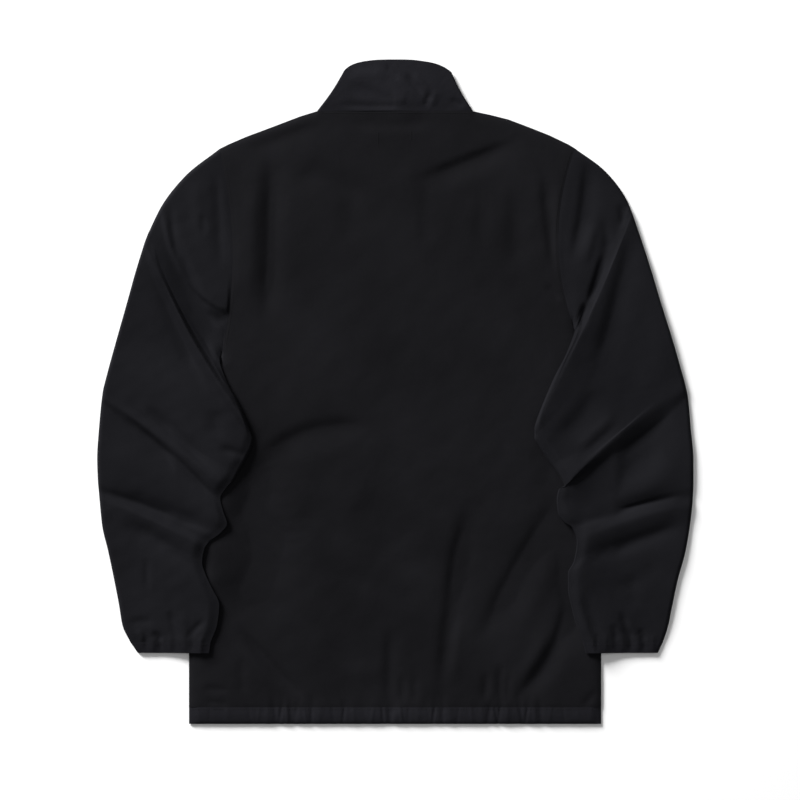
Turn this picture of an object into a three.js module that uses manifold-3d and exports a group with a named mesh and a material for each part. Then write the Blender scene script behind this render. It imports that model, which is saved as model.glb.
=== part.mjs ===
// A windbreaker of thin black woven cloth, laid flat on its front with its back up.
// Millimetres. X runs across the garment, Y from hem to collar, Z up from the surface it lies on.
// The origin is on that surface, under the middle of the whole garment.

import * as THREE from 'three';
import * as BufferGeometryUtils from 'three/addons/utils/BufferGeometryUtils.js';
import Module from 'manifold-3d';

const wasm = await Module();
wasm.setup();

// Driving dimensions
const WALL = 1.2;              // cloth with its seam allowances and inner facing, pressed flat
const SEAM_GAP = 0.3;          // clear distance between two pieces at a seam
const LAYER_GAP = 0.5;         // least clear height between two layers that lie on each other
const HEM_SEAM_Y = -377;       // where the hem casing is sewn on
const HEM_Y = -397;            // lower edge of the garment
const HEM_LEFT = -247;
const HEM_RIGHT = 246;
const COLLAR_SEAM_Y = 336;     // back neck seam
const NECK_LEFT = -93;
const NECK_RIGHT = 92;
const COLLAR_FRONT_TOP_Y = 351;
const BACK_TOP = 4.8;          // upper face of the back where it lies plain
const SIDE_TOP = 2.7;          // upper face of the back at its side and shoulder seams
const SLEEVE_LIFT = 5.6;       // underside of a sleeve where it lies on the back
const EDGE_ROUND = 9;          // how far in from its edge a sleeve reaches its full height
const CUFF_Y = -312;
const ZIP_LIFT = 2.9;          // rise of the zip's top end, to make room for slider and tab
const SLIDER_Y = 344;

const CLOTH = { color: 0x1a1a1c, roughness: 0.75, metalness: 0 };
const ELASTIC = { color: 0x18181a, roughness: 0.8, metalness: 0 };
const TAPE = { color: 0x141415, roughness: 0.85, metalness: 0 };
const NYLON = { color: 0x121213, roughness: 0.45, metalness: 0 };
const METAL = { color: 0x1c1c1e, roughness: 0.4, metalness: 0.7 };

// Sections of a sleeve, from the armhole down to the cuff, a row for each fold or flat.
// outer and inner are the two folded edges, bow is the shift of the section's middle,
// high gives the upper face near the outer edge, in the middle and near the inner edge,
// and lift is the height of the lower layer's underside at the inner edge.
const LEFT_SLEEVE = [
  { outer: [-211, 290.5], inner: [-207, 50], bow: [14, 0], high: [4.8, 4.8, 4.8], lift: 0 },
  { outer: [-250, 260], inner: [-207.5, 45.5], bow: [8, 2], high: [5.0, 5.2, 4.8], lift: 0 },
  { outer: [-279, 224], inner: [-208.5, 40.5], bow: [1, 2], high: [4.8, 4.4, 4.8], lift: 2.4 },
  { outer: [-294, 194], inner: [-209.5, 35], bow: [-6.5, -3], high: [4.2, 3.8, 5.0], lift: SLEEVE_LIFT },
  { outer: [-296, 190], inner: [-201, 12], bow: [-7, -4], high: [5.4, 7.0, 10.0], lift: SLEEVE_LIFT },
  { outer: [-297.5, 186], inner: [-187, -13], bow: [-7, -4], high: [6.6, 10.5, 13.5], lift: SLEEVE_LIFT },
  { outer: [-299.5, 181], inner: [-175, -41], bow: [-7.5, -4], high: [8.0, 13.5, 15.5], lift: SLEEVE_LIFT },
  { outer: [-303, 170], inner: [-170, -59], bow: [-11.5, -6.5], high: [6.6, 8.4, 11.0], lift: SLEEVE_LIFT },
  { outer: [-311, 144], inner: [-172, -68], bow: [-14, -8], high: [7.0, 8.8, 11.2], lift: SLEEVE_LIFT },
  { outer: [-321, 108], inner: [-177, -78], bow: [-14, -8], high: [7.8, 9.6, 11.4], lift: SLEEVE_LIFT },
  { outer: [-334, 62], inner: [-183, -89], bow: [-12, -7], high: [8.0, 9.2, 11.0], lift: SLEEVE_LIFT },
  { outer: [-345, 22], inner: [-188, -97], bow: [-8, -5], high: [7.6, 8.4, 10.6], lift: SLEEVE_LIFT },
  { outer: [-350, 2], inner: [-193, -106], bow: [2, 2], high: [6.8, 7.2, 10.0], lift: SLEEVE_LIFT },
  { outer: [-351, -5], inner: [-200, -114], bow: [1, 1], high: [8.0, 12.5, 14.5], lift: SLEEVE_LIFT },
  { outer: [-352, -13], inner: [-208, -128], bow: [-1, -3], high: [5.0, 5.4, 9.0], lift: SLEEVE_LIFT },
  { outer: [-354.5, -40], inner: [-205, -142], bow: [0, 0], high: [6.2, 7.0, 9.6], lift: SLEEVE_LIFT },
  { outer: [-357, -79], inner: [-200, -158], bow: [0, 4], high: [7.2, 8.4, 10.6], lift: SLEEVE_LIFT },
  { outer: [-356, -108], inner: [-208, -169], bow: [0, 3], high: [6.6, 7.4, 9.8], lift: SLEEVE_LIFT },
  { outer: [-355, -119], inner: [-221, -179], bow: [0, 4.5], high: [4.6, 4.8, 8.8], lift: SLEEVE_LIFT },
  { outer: [-354, -130], inner: [-227, -187], bow: [0, 4], high: [7.4, 10.8, 13.0], lift: SLEEVE_LIFT },
  { outer: [-351, -160], inner: [-230, -204], bow: [0, 6], high: [5.6, 7.2, 10.2], lift: SLEEVE_LIFT },
  { outer: [-344, -190], inner: [-226, -218], bow: [0, 3], high: [6.6, 7.8, 9.8], lift: SLEEVE_LIFT },
  { outer: [-337, -223], inner: [-218, -235], bow: [0, 2], high: [6.4, 7.6, 9.8], lift: SLEEVE_LIFT },
  { outer: [-331, -254], inner: [-209.5, -255], bow: [0, 0], high: [6.2, 7.0, 9.6], lift: SLEEVE_LIFT },
  { outer: [-326.5, -280], inner: [-212, -277], bow: [0, 0], high: [5.4, 6.0, 9.2], lift: SLEEVE_LIFT },
  { outer: [-317.5, -299], inner: [-220, -299], bow: [0, 0], high: [4.4, 5.0, 8.8], lift: SLEEVE_LIFT },
];
const RIGHT_SLEEVE = [
  { outer: [214.5, 291.5], inner: [210.6, 85], bow: [-18, 0], high: [4.8, 4.8, 4.8], lift: 0 },
  { outer: [249, 266], inner: [212, 81], bow: [-11, 1], high: [5.0, 5.2, 4.8], lift: 0 },
  { outer: [270, 241], inner: [213, 77], bow: [-4, 1], high: [4.8, 4.4, 4.8], lift: 2.4 },
  { outer: [278, 227], inner: [214, 73], bow: [0, 0], high: [4.2, 3.8, 5.0], lift: SLEEVE_LIFT },
  { outer: [280, 222], inner: [204.6, 46.8], bow: [5, -2], high: [5.6, 7.0, 10.0], lift: SLEEVE_LIFT },
  { outer: [282, 217], inner: [188, 14], bow: [6, -3], high: [6.8, 10.5, 13.5], lift: SLEEVE_LIFT },
  { outer: [284, 212], inner: [166, -44], bow: [4, -2], high: [8.0, 14.0, 15.5], lift: SLEEVE_LIFT },
  { outer: [290.5, 193], inner: [166, -55], bow: [18, -9], high: [6.2, 8.4, 11.0], lift: SLEEVE_LIFT },
  { outer: [304, 152], inner: [171, -64], bow: [20, -10], high: [6.8, 7.8, 10.4], lift: SLEEVE_LIFT },
  { outer: [318.5, 104], inner: [177, -74], bow: [18, -9], high: [7.6, 7.8, 9.8], lift: SLEEVE_LIFT },
  { outer: [332, 61], inner: [185.5, -86], bow: [13, -7], high: [7.8, 8.4, 10.0], lift: SLEEVE_LIFT },
  { outer: [342, 26], inner: [194, -98], bow: [7, -4], high: [7.4, 9.4, 10.6], lift: SLEEVE_LIFT },
  { outer: [347, 8], inner: [202, -112], bow: [-4, 5], high: [7.6, 12.5, 14.5], lift: SLEEVE_LIFT },
  { outer: [350, -7], inner: [195, -116.5], bow: [3, -5], high: [4.8, 5.2, 8.8], lift: SLEEVE_LIFT },
  { outer: [353, -40], inner: [192.5, -130], bow: [0, -4], high: [5.8, 6.4, 9.2], lift: SLEEVE_LIFT },
  { outer: [356.5, -82], inner: [194, -144], bow: [0, -2], high: [7.0, 7.8, 9.6], lift: SLEEVE_LIFT },
  { outer: [356.5, -112], inner: [201, -156], bow: [0, 0], high: [6.6, 7.4, 9.4], lift: SLEEVE_LIFT },
  { outer: [356, -123], inner: [210.5, -162], bow: [0, 6], high: [5.0, 4.8, 8.8], lift: SLEEVE_LIFT },
  { outer: [355, -137], inner: [216.5, -179], bow: [0, 5], high: [7.4, 10.4, 12.6], lift: SLEEVE_LIFT },
  { outer: [352, -162], inner: [213, -202], bow: [0, 4], high: [5.4, 6.4, 9.6], lift: SLEEVE_LIFT },
  { outer: [347, -191], inner: [206, -217], bow: [0, 3], high: [6.4, 7.8, 9.8], lift: SLEEVE_LIFT },
  { outer: [338, -224], inner: [206, -235], bow: [0, 0], high: [6.4, 7.6, 9.6], lift: SLEEVE_LIFT },
  { outer: [330.5, -259], inner: [210.5, -259], bow: [0, 0], high: [6.2, 7.0, 9.4], lift: SLEEVE_LIFT },
  { outer: [326, -281], inner: [216.5, -281], bow: [0, 0], high: [5.4, 6.0, 9.2], lift: SLEEVE_LIFT },
  { outer: [320, -299], inner: [224, -299], bow: [0, 0], high: [4.4, 5.0, 8.8], lift: SLEEVE_LIFT },
];
const CUFFS = {
  left: { outer: [-308.5, CUFF_Y], inner: [-222, CUFF_Y] },
  right: { outer: [314, CUFF_Y], inner: [227, CUFF_Y] },
};

// Upper edge of the body, from the left armhole over the neck to the right one
const SHOULDERS = [
  [-211, 290.5], [-200, 296], [-178, 305.5], [-155, 314], [-134, 322], [-113, 330], [NECK_LEFT, COLLAR_SEAM_Y],
  [-62, COLLAR_SEAM_Y], [-31, COLLAR_SEAM_Y], [0, COLLAR_SEAM_Y], [31, COLLAR_SEAM_Y], [62, COLLAR_SEAM_Y],
  [NECK_RIGHT, COLLAR_SEAM_Y], [113, 331.5], [135, 326], [160, 316.5], [184, 307], [207, 296], [214.5, 291.5],
];

// Folds of the back: from, by and to bend a soft line, depth is below zero for a trough
const BACK_FOLDS = [
  { from: [-153, 290], by: [-158, 188], to: [-160, 86], depth: -2.0, width: 9 },
  { from: [-172, 290], by: [-176, 210], to: [-178, 130], depth: 0.9, width: 9 },
  { from: [-157, -76], by: [-120, -42], to: [-34, -42], depth: -1.9, width: 10 },
  { from: [-150, -92], by: [-112, -66], to: [-40, -66], depth: 0.8, width: 9 },
  { from: [140, 296], by: [83, 279], to: [26, 254], depth: -1.6, width: 9 },
  { from: [176, 264], by: [180, 204], to: [185, 144], depth: -1.0, width: 9 },
  { from: [146, 232], by: [146, 190], to: [146, 150], depth: -0.8, width: 11 },
  { from: [35, 244], by: [35, 215], to: [35, 186], depth: -0.6, width: 10 },
  { from: [196, -148], by: [150, -200], to: [104, -304], depth: -2.0, width: 11 },
  { from: [172, -140], by: [128, -200], to: [84, -300], depth: 1.0, width: 10 },
  { from: [83, -130], by: [86, -240], to: [53, -372], depth: -1.9, width: 10 },
  { from: [60, -150], by: [62, -250], to: [34, -360], depth: 0.7, width: 10 },
  { from: [203, -202], by: [196, -330], to: [142, -372], depth: -1.9, width: 9 },
  { from: [-169, -288], by: [-140, -318], to: [-115, -358], depth: -1.3, width: 8 },
  { from: [-110, -150], by: [-30, -190], to: [45, -170], depth: -0.9, width: 22 },
  { from: [-86, 322], by: [-135, 308], to: [-184, 290], depth: -0.8, width: 8 },
  { from: [-80, 262], by: [-45, 258], to: [-10, 246], depth: -0.8, width: 13 },
  { from: [-4, -335], by: [-4, -355], to: [-4, -374], depth: -0.9, width: 6 },
  { from: [107, -330], by: [108, -350], to: [104, -374], depth: -0.9, width: 6 },
  { from: [125, -330], by: [126, -350], to: [124, -374], depth: -1.0, width: 6 },
];

const COLLAR_SECTIONS = [
  { base: [-5, 290.5], top: [-5, 351], high: 0 },
  { base: [-25, 292], top: [-20, 353], high: 0 },
  { base: [-52, 301], top: [-42, 361], high: 0 },
  { base: [-76, 316], top: [-57, 373], high: 0 },
  { base: [-89, 329], top: [-64, 381], high: 0 },
  { base: [-93.5, 336.5], top: [-67, 384], high: 0.5 },
  { base: [-89, 336.6], top: [-62, 387], high: 1 },
  { base: [-75, 336.6], top: [-52, 391], high: 1 },
  { base: [-56, 336.6], top: [-38, 394.5], high: 1 },
  { base: [-37, 336.6], top: [-20, 397], high: 1 },
  { base: [-19, 336.6], top: [-6, 397.2], high: 1 },
  { base: [0, 336.6], top: [6, 397.2], high: 1 },
  { base: [19, 336.6], top: [18, 397], high: 1 },
  { base: [37, 336.6], top: [32, 395], high: 1 },
  { base: [56, 336.6], top: [45, 393.4], high: 1 },
  { base: [75, 336.6], top: [56, 390.5], high: 1 },
  { base: [88, 336.6], top: [65, 386], high: 1 },
  { base: [92.5, 336.5], top: [71, 380], high: 0.5 },
  { base: [88, 329], top: [68, 376], high: 0 },
  { base: [75, 316], top: [58, 369], high: 0 },
  { base: [52, 301], top: [42, 360], high: 0 },
  { base: [25, 292], top: [20, 353], high: 0 },
  { base: [5, 290.5], top: [5, 351], high: 0 },
];

// Formulas shared by the pieces
const lerp = (a, b, t) => a + (b - a) * t;
const lerp2 = (p, q, t) => [lerp(p[0], q[0], t), lerp(p[1], q[1], t)];
const clamp = (x, low, high) => Math.min(Math.max(x, low), high);
const smooth = (t) => { const c = clamp(t, 0, 1); return c * c * (3 - 2 * c); };
const quarter = (t) => Math.sqrt(1 - (1 - clamp(t, 0, 1)) ** 2);
const spread = (count) => Array.from({ length: count + 1 }, (_, i) => i / count);

// Distance from a point to a soft line through from, by and to, and how far along it lies
function alongFold(x, y, fold) {
  let best = { far: Infinity, along: 0 };
  const steps = 8;
  let last = fold.from;
  for (let i = 1; i <= steps; i += 1) {
    const t = i / steps;
    const next = lerp2(lerp2(fold.from, fold.by, t), lerp2(fold.by, fold.to, t), t);
    const run = [next[0] - last[0], next[1] - last[1]];
    const size = run[0] ** 2 + run[1] ** 2;
    const k = clamp(((x - last[0]) * run[0] + (y - last[1]) * run[1]) / size, 0, 1);
    const far = Math.hypot(x - last[0] - k * run[0], y - last[1] - k * run[1]);
    if (far < best.far) best = { far, along: (i - 1 + k) / steps };
    last = next;
  }
  return best;
}

// Rise of cloth above the zip's lifted top end
const zipRise = (x, y) => 3.4 * Math.exp(-((x / 40) ** 2) - ((y - SLIDER_Y) / 40) ** 2);

// Lift of what lies on the surface next to the slider, none farther out
const zipLift = (x, y) => ZIP_LIFT * smooth((y - 298) / 36) * (1 - smooth((Math.abs(x) - 12) / 34));

// A wall between two like grids of points: rows of the first are its outer face
function wallGeometry(outer, inner, closed) {
  const rows = outer.length;
  const columns = outer[0].length;
  const points = [...outer.flat(), ...inner.flat()];
  const faces = [];
  const at = (side, i, j) => side * rows * columns + i * columns + (j % columns);
  const quad = (a, b, c, d) => faces.push(a, b, c, a, c, d);
  const last = closed ? columns : columns - 1;
  for (let i = 0; i + 1 < rows; i += 1) {
    for (let j = 0; j < last; j += 1) {
      quad(at(0, i, j), at(0, i, j + 1), at(0, i + 1, j + 1), at(0, i + 1, j));
      quad(at(1, i, j), at(1, i + 1, j), at(1, i + 1, j + 1), at(1, i, j + 1));
    }
  }
  for (let j = 0; j < last; j += 1) {
    quad(at(0, 0, j), at(1, 0, j), at(1, 0, j + 1), at(0, 0, j + 1));
    quad(at(0, rows - 1, j), at(0, rows - 1, j + 1), at(1, rows - 1, j + 1), at(1, rows - 1, j));
  }
  if (!closed) {
    for (let i = 0; i + 1 < rows; i += 1) {
      quad(at(0, i, 0), at(0, i + 1, 0), at(1, i + 1, 0), at(1, i, 0));
      quad(at(0, i, last), at(1, i, last), at(1, i + 1, last), at(0, i + 1, last));
    }
  }
  let volume = 0;
  for (let f = 0; f < faces.length; f += 3) {
    const [a, b, c] = [0, 1, 2].map((k) => new THREE.Vector3(...points[faces[f + k]]));
    volume += a.dot(b.cross(c));
  }
  if (volume < 0) faces.reverse();
  const geometry = new THREE.BufferGeometry();
  geometry.setAttribute('position', new THREE.Float32BufferAttribute(points.flat(), 3));
  geometry.setIndex(faces);
  return geometry;
}

const windbreaker = new THREE.Group();

function addPiece(name, geometry, finish) {
  const mesh = new THREE.Mesh(geometry, new THREE.MeshStandardMaterial(finish));
  mesh.name = name;
  windbreaker.add(mesh);
  return mesh;
}

// A point of a section: t runs from the outer to the inner edge
function sectionPoint(row, t) {
  const bulge = 4 * t * (1 - t);
  const [x, y] = lerp2(row.outer, row.inner, t);
  return [x + bulge * row.bow[0], y + bulge * row.bow[1]];
}

const sectionLength = (row) => Math.hypot(row.outer[0] - row.inner[0], row.outer[1] - row.inner[1]);

// Body edge below the visible armhole: under the sleeve to the side seam, then down it
function bodyEdges(rows, underarm, hem) {
  return [rows[3].inner, underarm, hem];
}

// Part of a section, from its outer edge, that lies clear of the body's edge
function clearPart(row, edge) {
  const steps = 200;
  const reach = sectionLength(row);
  for (let i = 1; i < steps; i += 1) {
    const [x, y] = sectionPoint(row, i / steps);
    for (let k = 0; k + 1 < edge.length; k += 1) {
      const [a, b] = [edge[k], edge[k + 1]];
      const along = ((x - a[0]) * (b[0] - a[0]) + (y - a[1]) * (b[1] - a[1]))
        / ((b[0] - a[0]) ** 2 + (b[1] - a[1]) ** 2);
      const [px, py] = lerp2(a, b, clamp(along, 0, 1));
      if (Math.hypot(x - px, y - py) < 3.5) return Math.min(i / steps, 1 - 7 / reach);
    }
  }
  return 1 - 7 / reach;
}

// Sections between those of the table, so that none is wider apart than the given step
function fillSections(table, step) {
  const filled = [];
  for (let i = 0; i + 1 < table.length; i += 1) {
    const [a, b] = [table[i], table[i + 1]];
    const gap = Math.hypot(a.outer[0] - b.outer[0], a.outer[1] - b.outer[1]);
    const count = Math.max(1, Math.round(gap / step));
    for (let k = 0; k < count; k += 1) {
      const t = k / count;
      filled.push({
        outer: lerp2(a.outer, b.outer, t),
        inner: lerp2(a.inner, b.inner, t),
        bow: lerp2(a.bow, b.bow, t),
        high: a.high.map((z, n) => lerp(z, b.high[n], smooth(t))),
        lift: lerp(a.lift, b.lift, t),
      });
    }
  }
  filled.push(table[table.length - 1]);
  return filled;
}

// Height of a section's upper face: a curve through its three heights
function sectionHeight(high, t) {
  const s = clamp(t, 0.12, 0.88);
  const [a, b, c] = [0.15, 0.5, 0.85];
  return high[0] * (s - b) * (s - c) / ((a - b) * (a - c))
    + high[1] * (s - a) * (s - c) / ((b - a) * (b - c))
    + high[2] * (s - a) * (s - b) / ((c - a) * (c - b));
}

// One ring of the sleeve: the upper layer from the outer edge in, then the lower layer back
function sleeveRing(row, edge) {
  const reach = sectionLength(row);
  const clear = clearPart(row, edge);
  const ramp = 9 / reach;
  const under = (t) => row.lift * smooth((t - (clear - ramp)) / ramp);
  const near = [2.6, 7, 14].map((d) => d / reach);
  const middle = spread(5).slice(1, -1).map((t) => lerp(near[2], 1 - near[2], t));
  const upper = [...near, ...middle, ...near.map((d) => 1 - d).reverse()];
  const toClear = spread(3).map((t) => lerp(near[0], clear - ramp, t));
  const lower = [...toClear, clear, lerp(clear, 1 - near[0], 0.5), 1 - near[0]].reverse();
  const outer = [];
  const inner = [];
  const push = (t, z, zInner, inset) => {
    const [x, y] = sectionPoint(row, t);
    outer.push([x, y, z]);
    const [ix, iy] = sectionPoint(row, t + inset);
    inner.push([ix, iy, zInner]);
  };
  const fold = WALL + LAYER_GAP / 2;
  const wallPart = WALL / reach;
  push(0, fold, fold, wallPart);
  for (const t of upper) {
    const least = under(t) + 2 * WALL + LAYER_GAP;
    const rim = quarter(Math.min(t, 1 - t) * reach / EDGE_ROUND);
    const base = lerp(fold, under(1) + fold, t);
    const z = Math.max(least, lerp(base, sectionHeight(row.high, t), rim));
    push(t, z, z - WALL, 0);
  }
  push(1, under(1) + fold, under(1) + fold, -wallPart);
  for (const t of lower) push(t, under(t), under(t) + WALL, 0);
  return { outer, inner };
}

function sleeve(table, edge) {
  const rings = fillSections(table, 24).map((row) => sleeveRing(row, edge));
  return wallGeometry(rings.map((r) => r.outer), rings.map((r) => r.inner), true);
}

// Elastic casing at the sleeve's end, with the sleeve's last ring carried down
function cuff(last, end, edge) {
  const steps = spread(2);
  const start = lerp2(last.outer, end.outer, 0.025);
  const startInner = lerp2(last.inner, end.inner, 0.025);
  const rings = steps.map((t) => sleeveRing({
    outer: lerp2(start, end.outer, t),
    inner: lerp2(startInner, end.inner, t),
    bow: [0, 0],
    high: last.high,
    lift: last.lift,
  }, edge));
  return wallGeometry(rings.map((r) => r.outer), rings.map((r) => r.inner), true);
}

// Body rows: along the armhole, under the sleeve to the underarm, and down the side
const ARM_STEPS = [0, 0.04, 0.1, 0.18, 0.28, 0.4, 0.52, 0.64, 0.76, 0.88, 1];
const SIDE_STEPS = spread(13).slice(1);

function bodySide(rows, underarm, hem, shift) {
  const arm = ARM_STEPS.map((t) => sectionPoint(rows[0], t));
  const under = [rows[3].inner, lerp2(rows[3].inner, underarm, 0.5), underarm];
  const side = SIDE_STEPS.map((t) => lerp2(underarm, hem, t));
  return [...arm, ...under, ...side].map(([x, y], i) => [x + (i < 12 ? shift : 0), y]);
}

const LEFT_UNDERARM = [-261, 4];
const RIGHT_UNDERARM = [261, 8];
const leftEdge = bodyEdges(LEFT_SLEEVE, LEFT_UNDERARM, [HEM_LEFT, HEM_SEAM_Y]);
const rightEdge = bodyEdges(RIGHT_SLEEVE, RIGHT_UNDERARM, [HEM_RIGHT, HEM_SEAM_Y]);
const leftSide = bodySide(LEFT_SLEEVE, LEFT_UNDERARM, [HEM_LEFT, HEM_SEAM_Y], 0.7);
const rightSide = bodySide(RIGHT_SLEEVE, RIGHT_UNDERARM, [HEM_RIGHT, HEM_SEAM_Y], -0.7);

// Plan grid of a panel between two sides: its first row follows the given upper edge
function panelGrid(left, right, columns, upper) {
  return left.map((start, i) => {
    const fade = 1 - smooth((left[0][1] - start[1]) / 190);
    return columns.map((u, k) => {
      const [x, y] = lerp2(start, right[i], u);
      const straight = lerp(left[0][1], right[0][1], u);
      return [x, y + (upper[k] - straight) * fade];
    });
  });
}

const shoulderParts = SHOULDERS.map(([x]) => (x - SHOULDERS[0][0])
  / (SHOULDERS[SHOULDERS.length - 1][0] - SHOULDERS[0][0]));
const seamY = ([x, y]) => (x >= NECK_LEFT && x <= NECK_RIGHT ? y - SEAM_GAP : y);

// Upper face of the back: plain, lower to its seams, with its folds and the rise over the zip
function backHeight(x, y, edgeFar) {
  let z = lerp(SIDE_TOP, BACK_TOP, quarter(edgeFar / 15));
  for (const fold of BACK_FOLDS) {
    const { far, along } = alongFold(x, y, fold);
    const ends = smooth(along / 0.18) * smooth((1 - along) / 0.18);
    z += fold.depth * ends * Math.exp(-((far / fold.width) ** 2)) * smooth(edgeFar / 20);
  }
  return Math.max(z, SIDE_TOP) + zipRise(x, y);
}

function back() {
  const columns = shoulderParts.flatMap((t, i) => (i === 0 ? [t] : [lerp(shoulderParts[i - 1], t, 0.5), t]));
  const edgeY = columns.map((t) => {
    const k = Math.max(1, shoulderParts.findIndex((p) => p >= t - 1e-9));
    const part = (t - shoulderParts[k - 1]) / (shoulderParts[k] - shoulderParts[k - 1]);
    return lerp(seamY(SHOULDERS[k - 1]), seamY(SHOULDERS[k]), part);
  });
  const plan = panelGrid(leftSide, rightSide, columns, edgeY);
  const top = plan.map((row, i) => row.map(([x, y], k) => {
    const atNeck = x > NECK_LEFT && x < NECK_RIGHT;
    const shoulderFar = atNeck ? 15 : edgeY[k] - y;
    const sideFar = i < ARM_STEPS.length ? 15 : Math.min(x - row[0][0], row[row.length - 1][0] - x);
    return [x, y, backHeight(x, y, Math.min(shoulderFar, sideFar))];
  }));
  const under = top.map((row) => row.map(([x, y, z]) => [x, y, z - WALL]));
  return wallGeometry(top, under, false);
}

const ZIP_HALF = 5;   // from the zip's middle line to the edge of each front
const frontNeck = COLLAR_SECTIONS.slice(0, 6).map((s) => s.base);

// A front lies flat on the surface, from its side to the zip
function front(side, sign) {
  const upper = SHOULDERS.filter(([x]) => (sign < 0 ? x <= NECK_LEFT : x >= NECK_RIGHT));
  if (sign > 0) upper.reverse();
  const neck = [...frontNeck].reverse().slice(1).map(([x, y]) => [-sign * x, y - 2 * SEAM_GAP]);
  neck[neck.length - 1][0] = sign * ZIP_HALF;
  const edge = [...upper.slice(0, -1), [upper[upper.length - 1][0], COLLAR_SEAM_Y - 2 * SEAM_GAP], ...neck];
  const columns = edge.map(([x]) => (x - edge[0][0]) / (edge[edge.length - 1][0] - edge[0][0]));
  const middle = side.map(([, y]) => {
    const t = (y - HEM_SEAM_Y) / (side[0][1] - HEM_SEAM_Y);
    return [sign * ZIP_HALF, lerp(HEM_SEAM_Y, edge[edge.length - 1][1], t)];
  });
  const plan = panelGrid(side, middle, columns, edge.map(([, y]) => y));
  const lower = plan.map((row) => row.map(([x, y]) => [x, y, 0]));
  const upperFace = lower.map((row) => row.map(([x, y]) => [x, y, WALL]));
  return wallGeometry(upperFace, lower, false);
}

// Stand collar: one band round the neck, its fronts on the surface and its back over them
function collar() {
  const steps = spread(4);
  const outer = [];
  const inner = [];
  COLLAR_SECTIONS.forEach((section, i) => {
    const turn = i <= COLLAR_SECTIONS.length / 2 ? 1 : -1;
    const rows = steps.map((t) => {
      const [x, y] = lerp2(section.base, section.top, t);
      if (section.high === 0) {
        const z = zipLift(x, y);
        return [[x, y, z], [x, y, z + WALL]];
      }
      if (section.high < 1) return [[x, y, 2.4], [x + turn * WALL, y, 2.4]];
      const z = 5.2 + 0.8 * Math.sin(t * Math.PI) + zipRise(x, y);
      return [[x, y, z], [x, y, z - WALL]];
    });
    outer.push(rows.map((r) => r[0]));
    inner.push(rows.map((r) => r[1]));
  });
  return wallGeometry(outer, inner, false);
}

// Hem casing: one band from the zip round the left side, across the back and round the right
const HEM_GATHERS = 36;
function hemBand() {
  const steps = spread(2);
  const sections = [];
  for (const t of spread(6)) sections.push({ x: lerp(-ZIP_HALF, HEM_LEFT + 8, t), z: 0, level: 0 });
  sections.push({ x: HEM_LEFT, z: 2.1, level: 0.5 });
  const across = HEM_GATHERS * 2;
  for (const t of spread(across)) {
    const edge = smooth(Math.min(t, 1 - t) * 20);
    const wave = 0.5 * Math.cos(t * HEM_GATHERS * 2 * Math.PI + 1.3 * Math.sin(t * 17));
    sections.push({ x: lerp(HEM_LEFT + 6, HEM_RIGHT - 6, t), z: lerp(3.8, 4.8 + wave, edge), level: 1 });
  }
  sections.push({ x: HEM_RIGHT, z: 2.1, level: 0.5 });
  for (const t of spread(6)) sections.push({ x: lerp(HEM_RIGHT - 8, ZIP_HALF, t), z: 0, level: 0 });
  const top = HEM_SEAM_Y - SEAM_GAP;
  const outer = sections.map((s) => steps.map((t) => [s.x, lerp(top, HEM_Y, t), s.z]));
  const inner = sections.map((s) => steps.map((t) => {
    const y = lerp(top, HEM_Y, t);
    if (s.level === 0) return [s.x, y, WALL];
    if (s.level < 1) return [s.x - Math.sign(s.x) * WALL, y, s.z];
    return [s.x, y, s.z - WALL];
  }));
  return wallGeometry(outer, inner, false);
}

// Zip: a strip along the middle line that follows the lift near the slider
function zipStrip(from, to, low, high, bottom, top) {
  const stops = [bottom, -200, 0, 200, 290, 300, 308, 316, 324, 332, top];
  const strip = (z) => stops.map((y) => [from, to].map((x) => [x, y, z + zipLift(x, y)]));
  return wallGeometry(strip(high), strip(low), false);
}

// Solid of a closed geometry, for joining
function solidOf(geometry) {
  const bare = geometry.clone();
  bare.deleteAttribute('normal');
  bare.deleteAttribute('uv');
  const merged = BufferGeometryUtils.mergeVertices(bare, 1e-4);
  return new wasm.Manifold(new wasm.Mesh({
    numProp: 3,
    vertProperties: new Float32Array(merged.attributes.position.array),
    triVerts: new Uint32Array(merged.index.array),
  }));
}

function geometryOf(solid) {
  const mesh = solid.getMesh();
  const geometry = new THREE.BufferGeometry();
  geometry.setAttribute('position', new THREE.BufferAttribute(mesh.vertProperties, 3));
  geometry.setIndex(new THREE.BufferAttribute(mesh.triVerts, 1));
  return geometry;
}

const block = (x, y, z, at) => new THREE.BoxGeometry(x, y, z).translate(...at);
const PIVOT_Z = 1.7;

// Slider: two plates joined by a post past the last teeth, with a bar for the tab below
function slider() {
  const outerPlate = block(8.4, 11, 0.9, [0, SLIDER_Y, 2.85]);
  const innerPlate = block(8.4, 11, 0.9, [0, SLIDER_Y, 5.75]);
  const post = block(3, 1.6, 2.4, [0, SLIDER_Y + 4.7, 4.3]);
  const bar = new THREE.Shape([[-3.8, 2.9], [-3.8, 0.8], [-3.1, 0.1], [3.1, 0.1], [3.8, 0.8], [3.8, 2.9],
    [2.9, 2.9], [2.9, 1.0], [-2.9, 1.0], [-2.9, 2.9]].map(([y, z]) => new THREE.Vector2(y, z)));
  const arch = new THREE.ExtrudeGeometry(bar, { depth: 1.8, bevelEnabled: false });
  arch.rotateX(Math.PI / 2).rotateZ(Math.PI / 2).translate(-0.9, SLIDER_Y, 0);
  return geometryOf([innerPlate, post, arch].reduce((sum, g) => sum.add(solidOf(g)), solidOf(outerPlate)));
}

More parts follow.
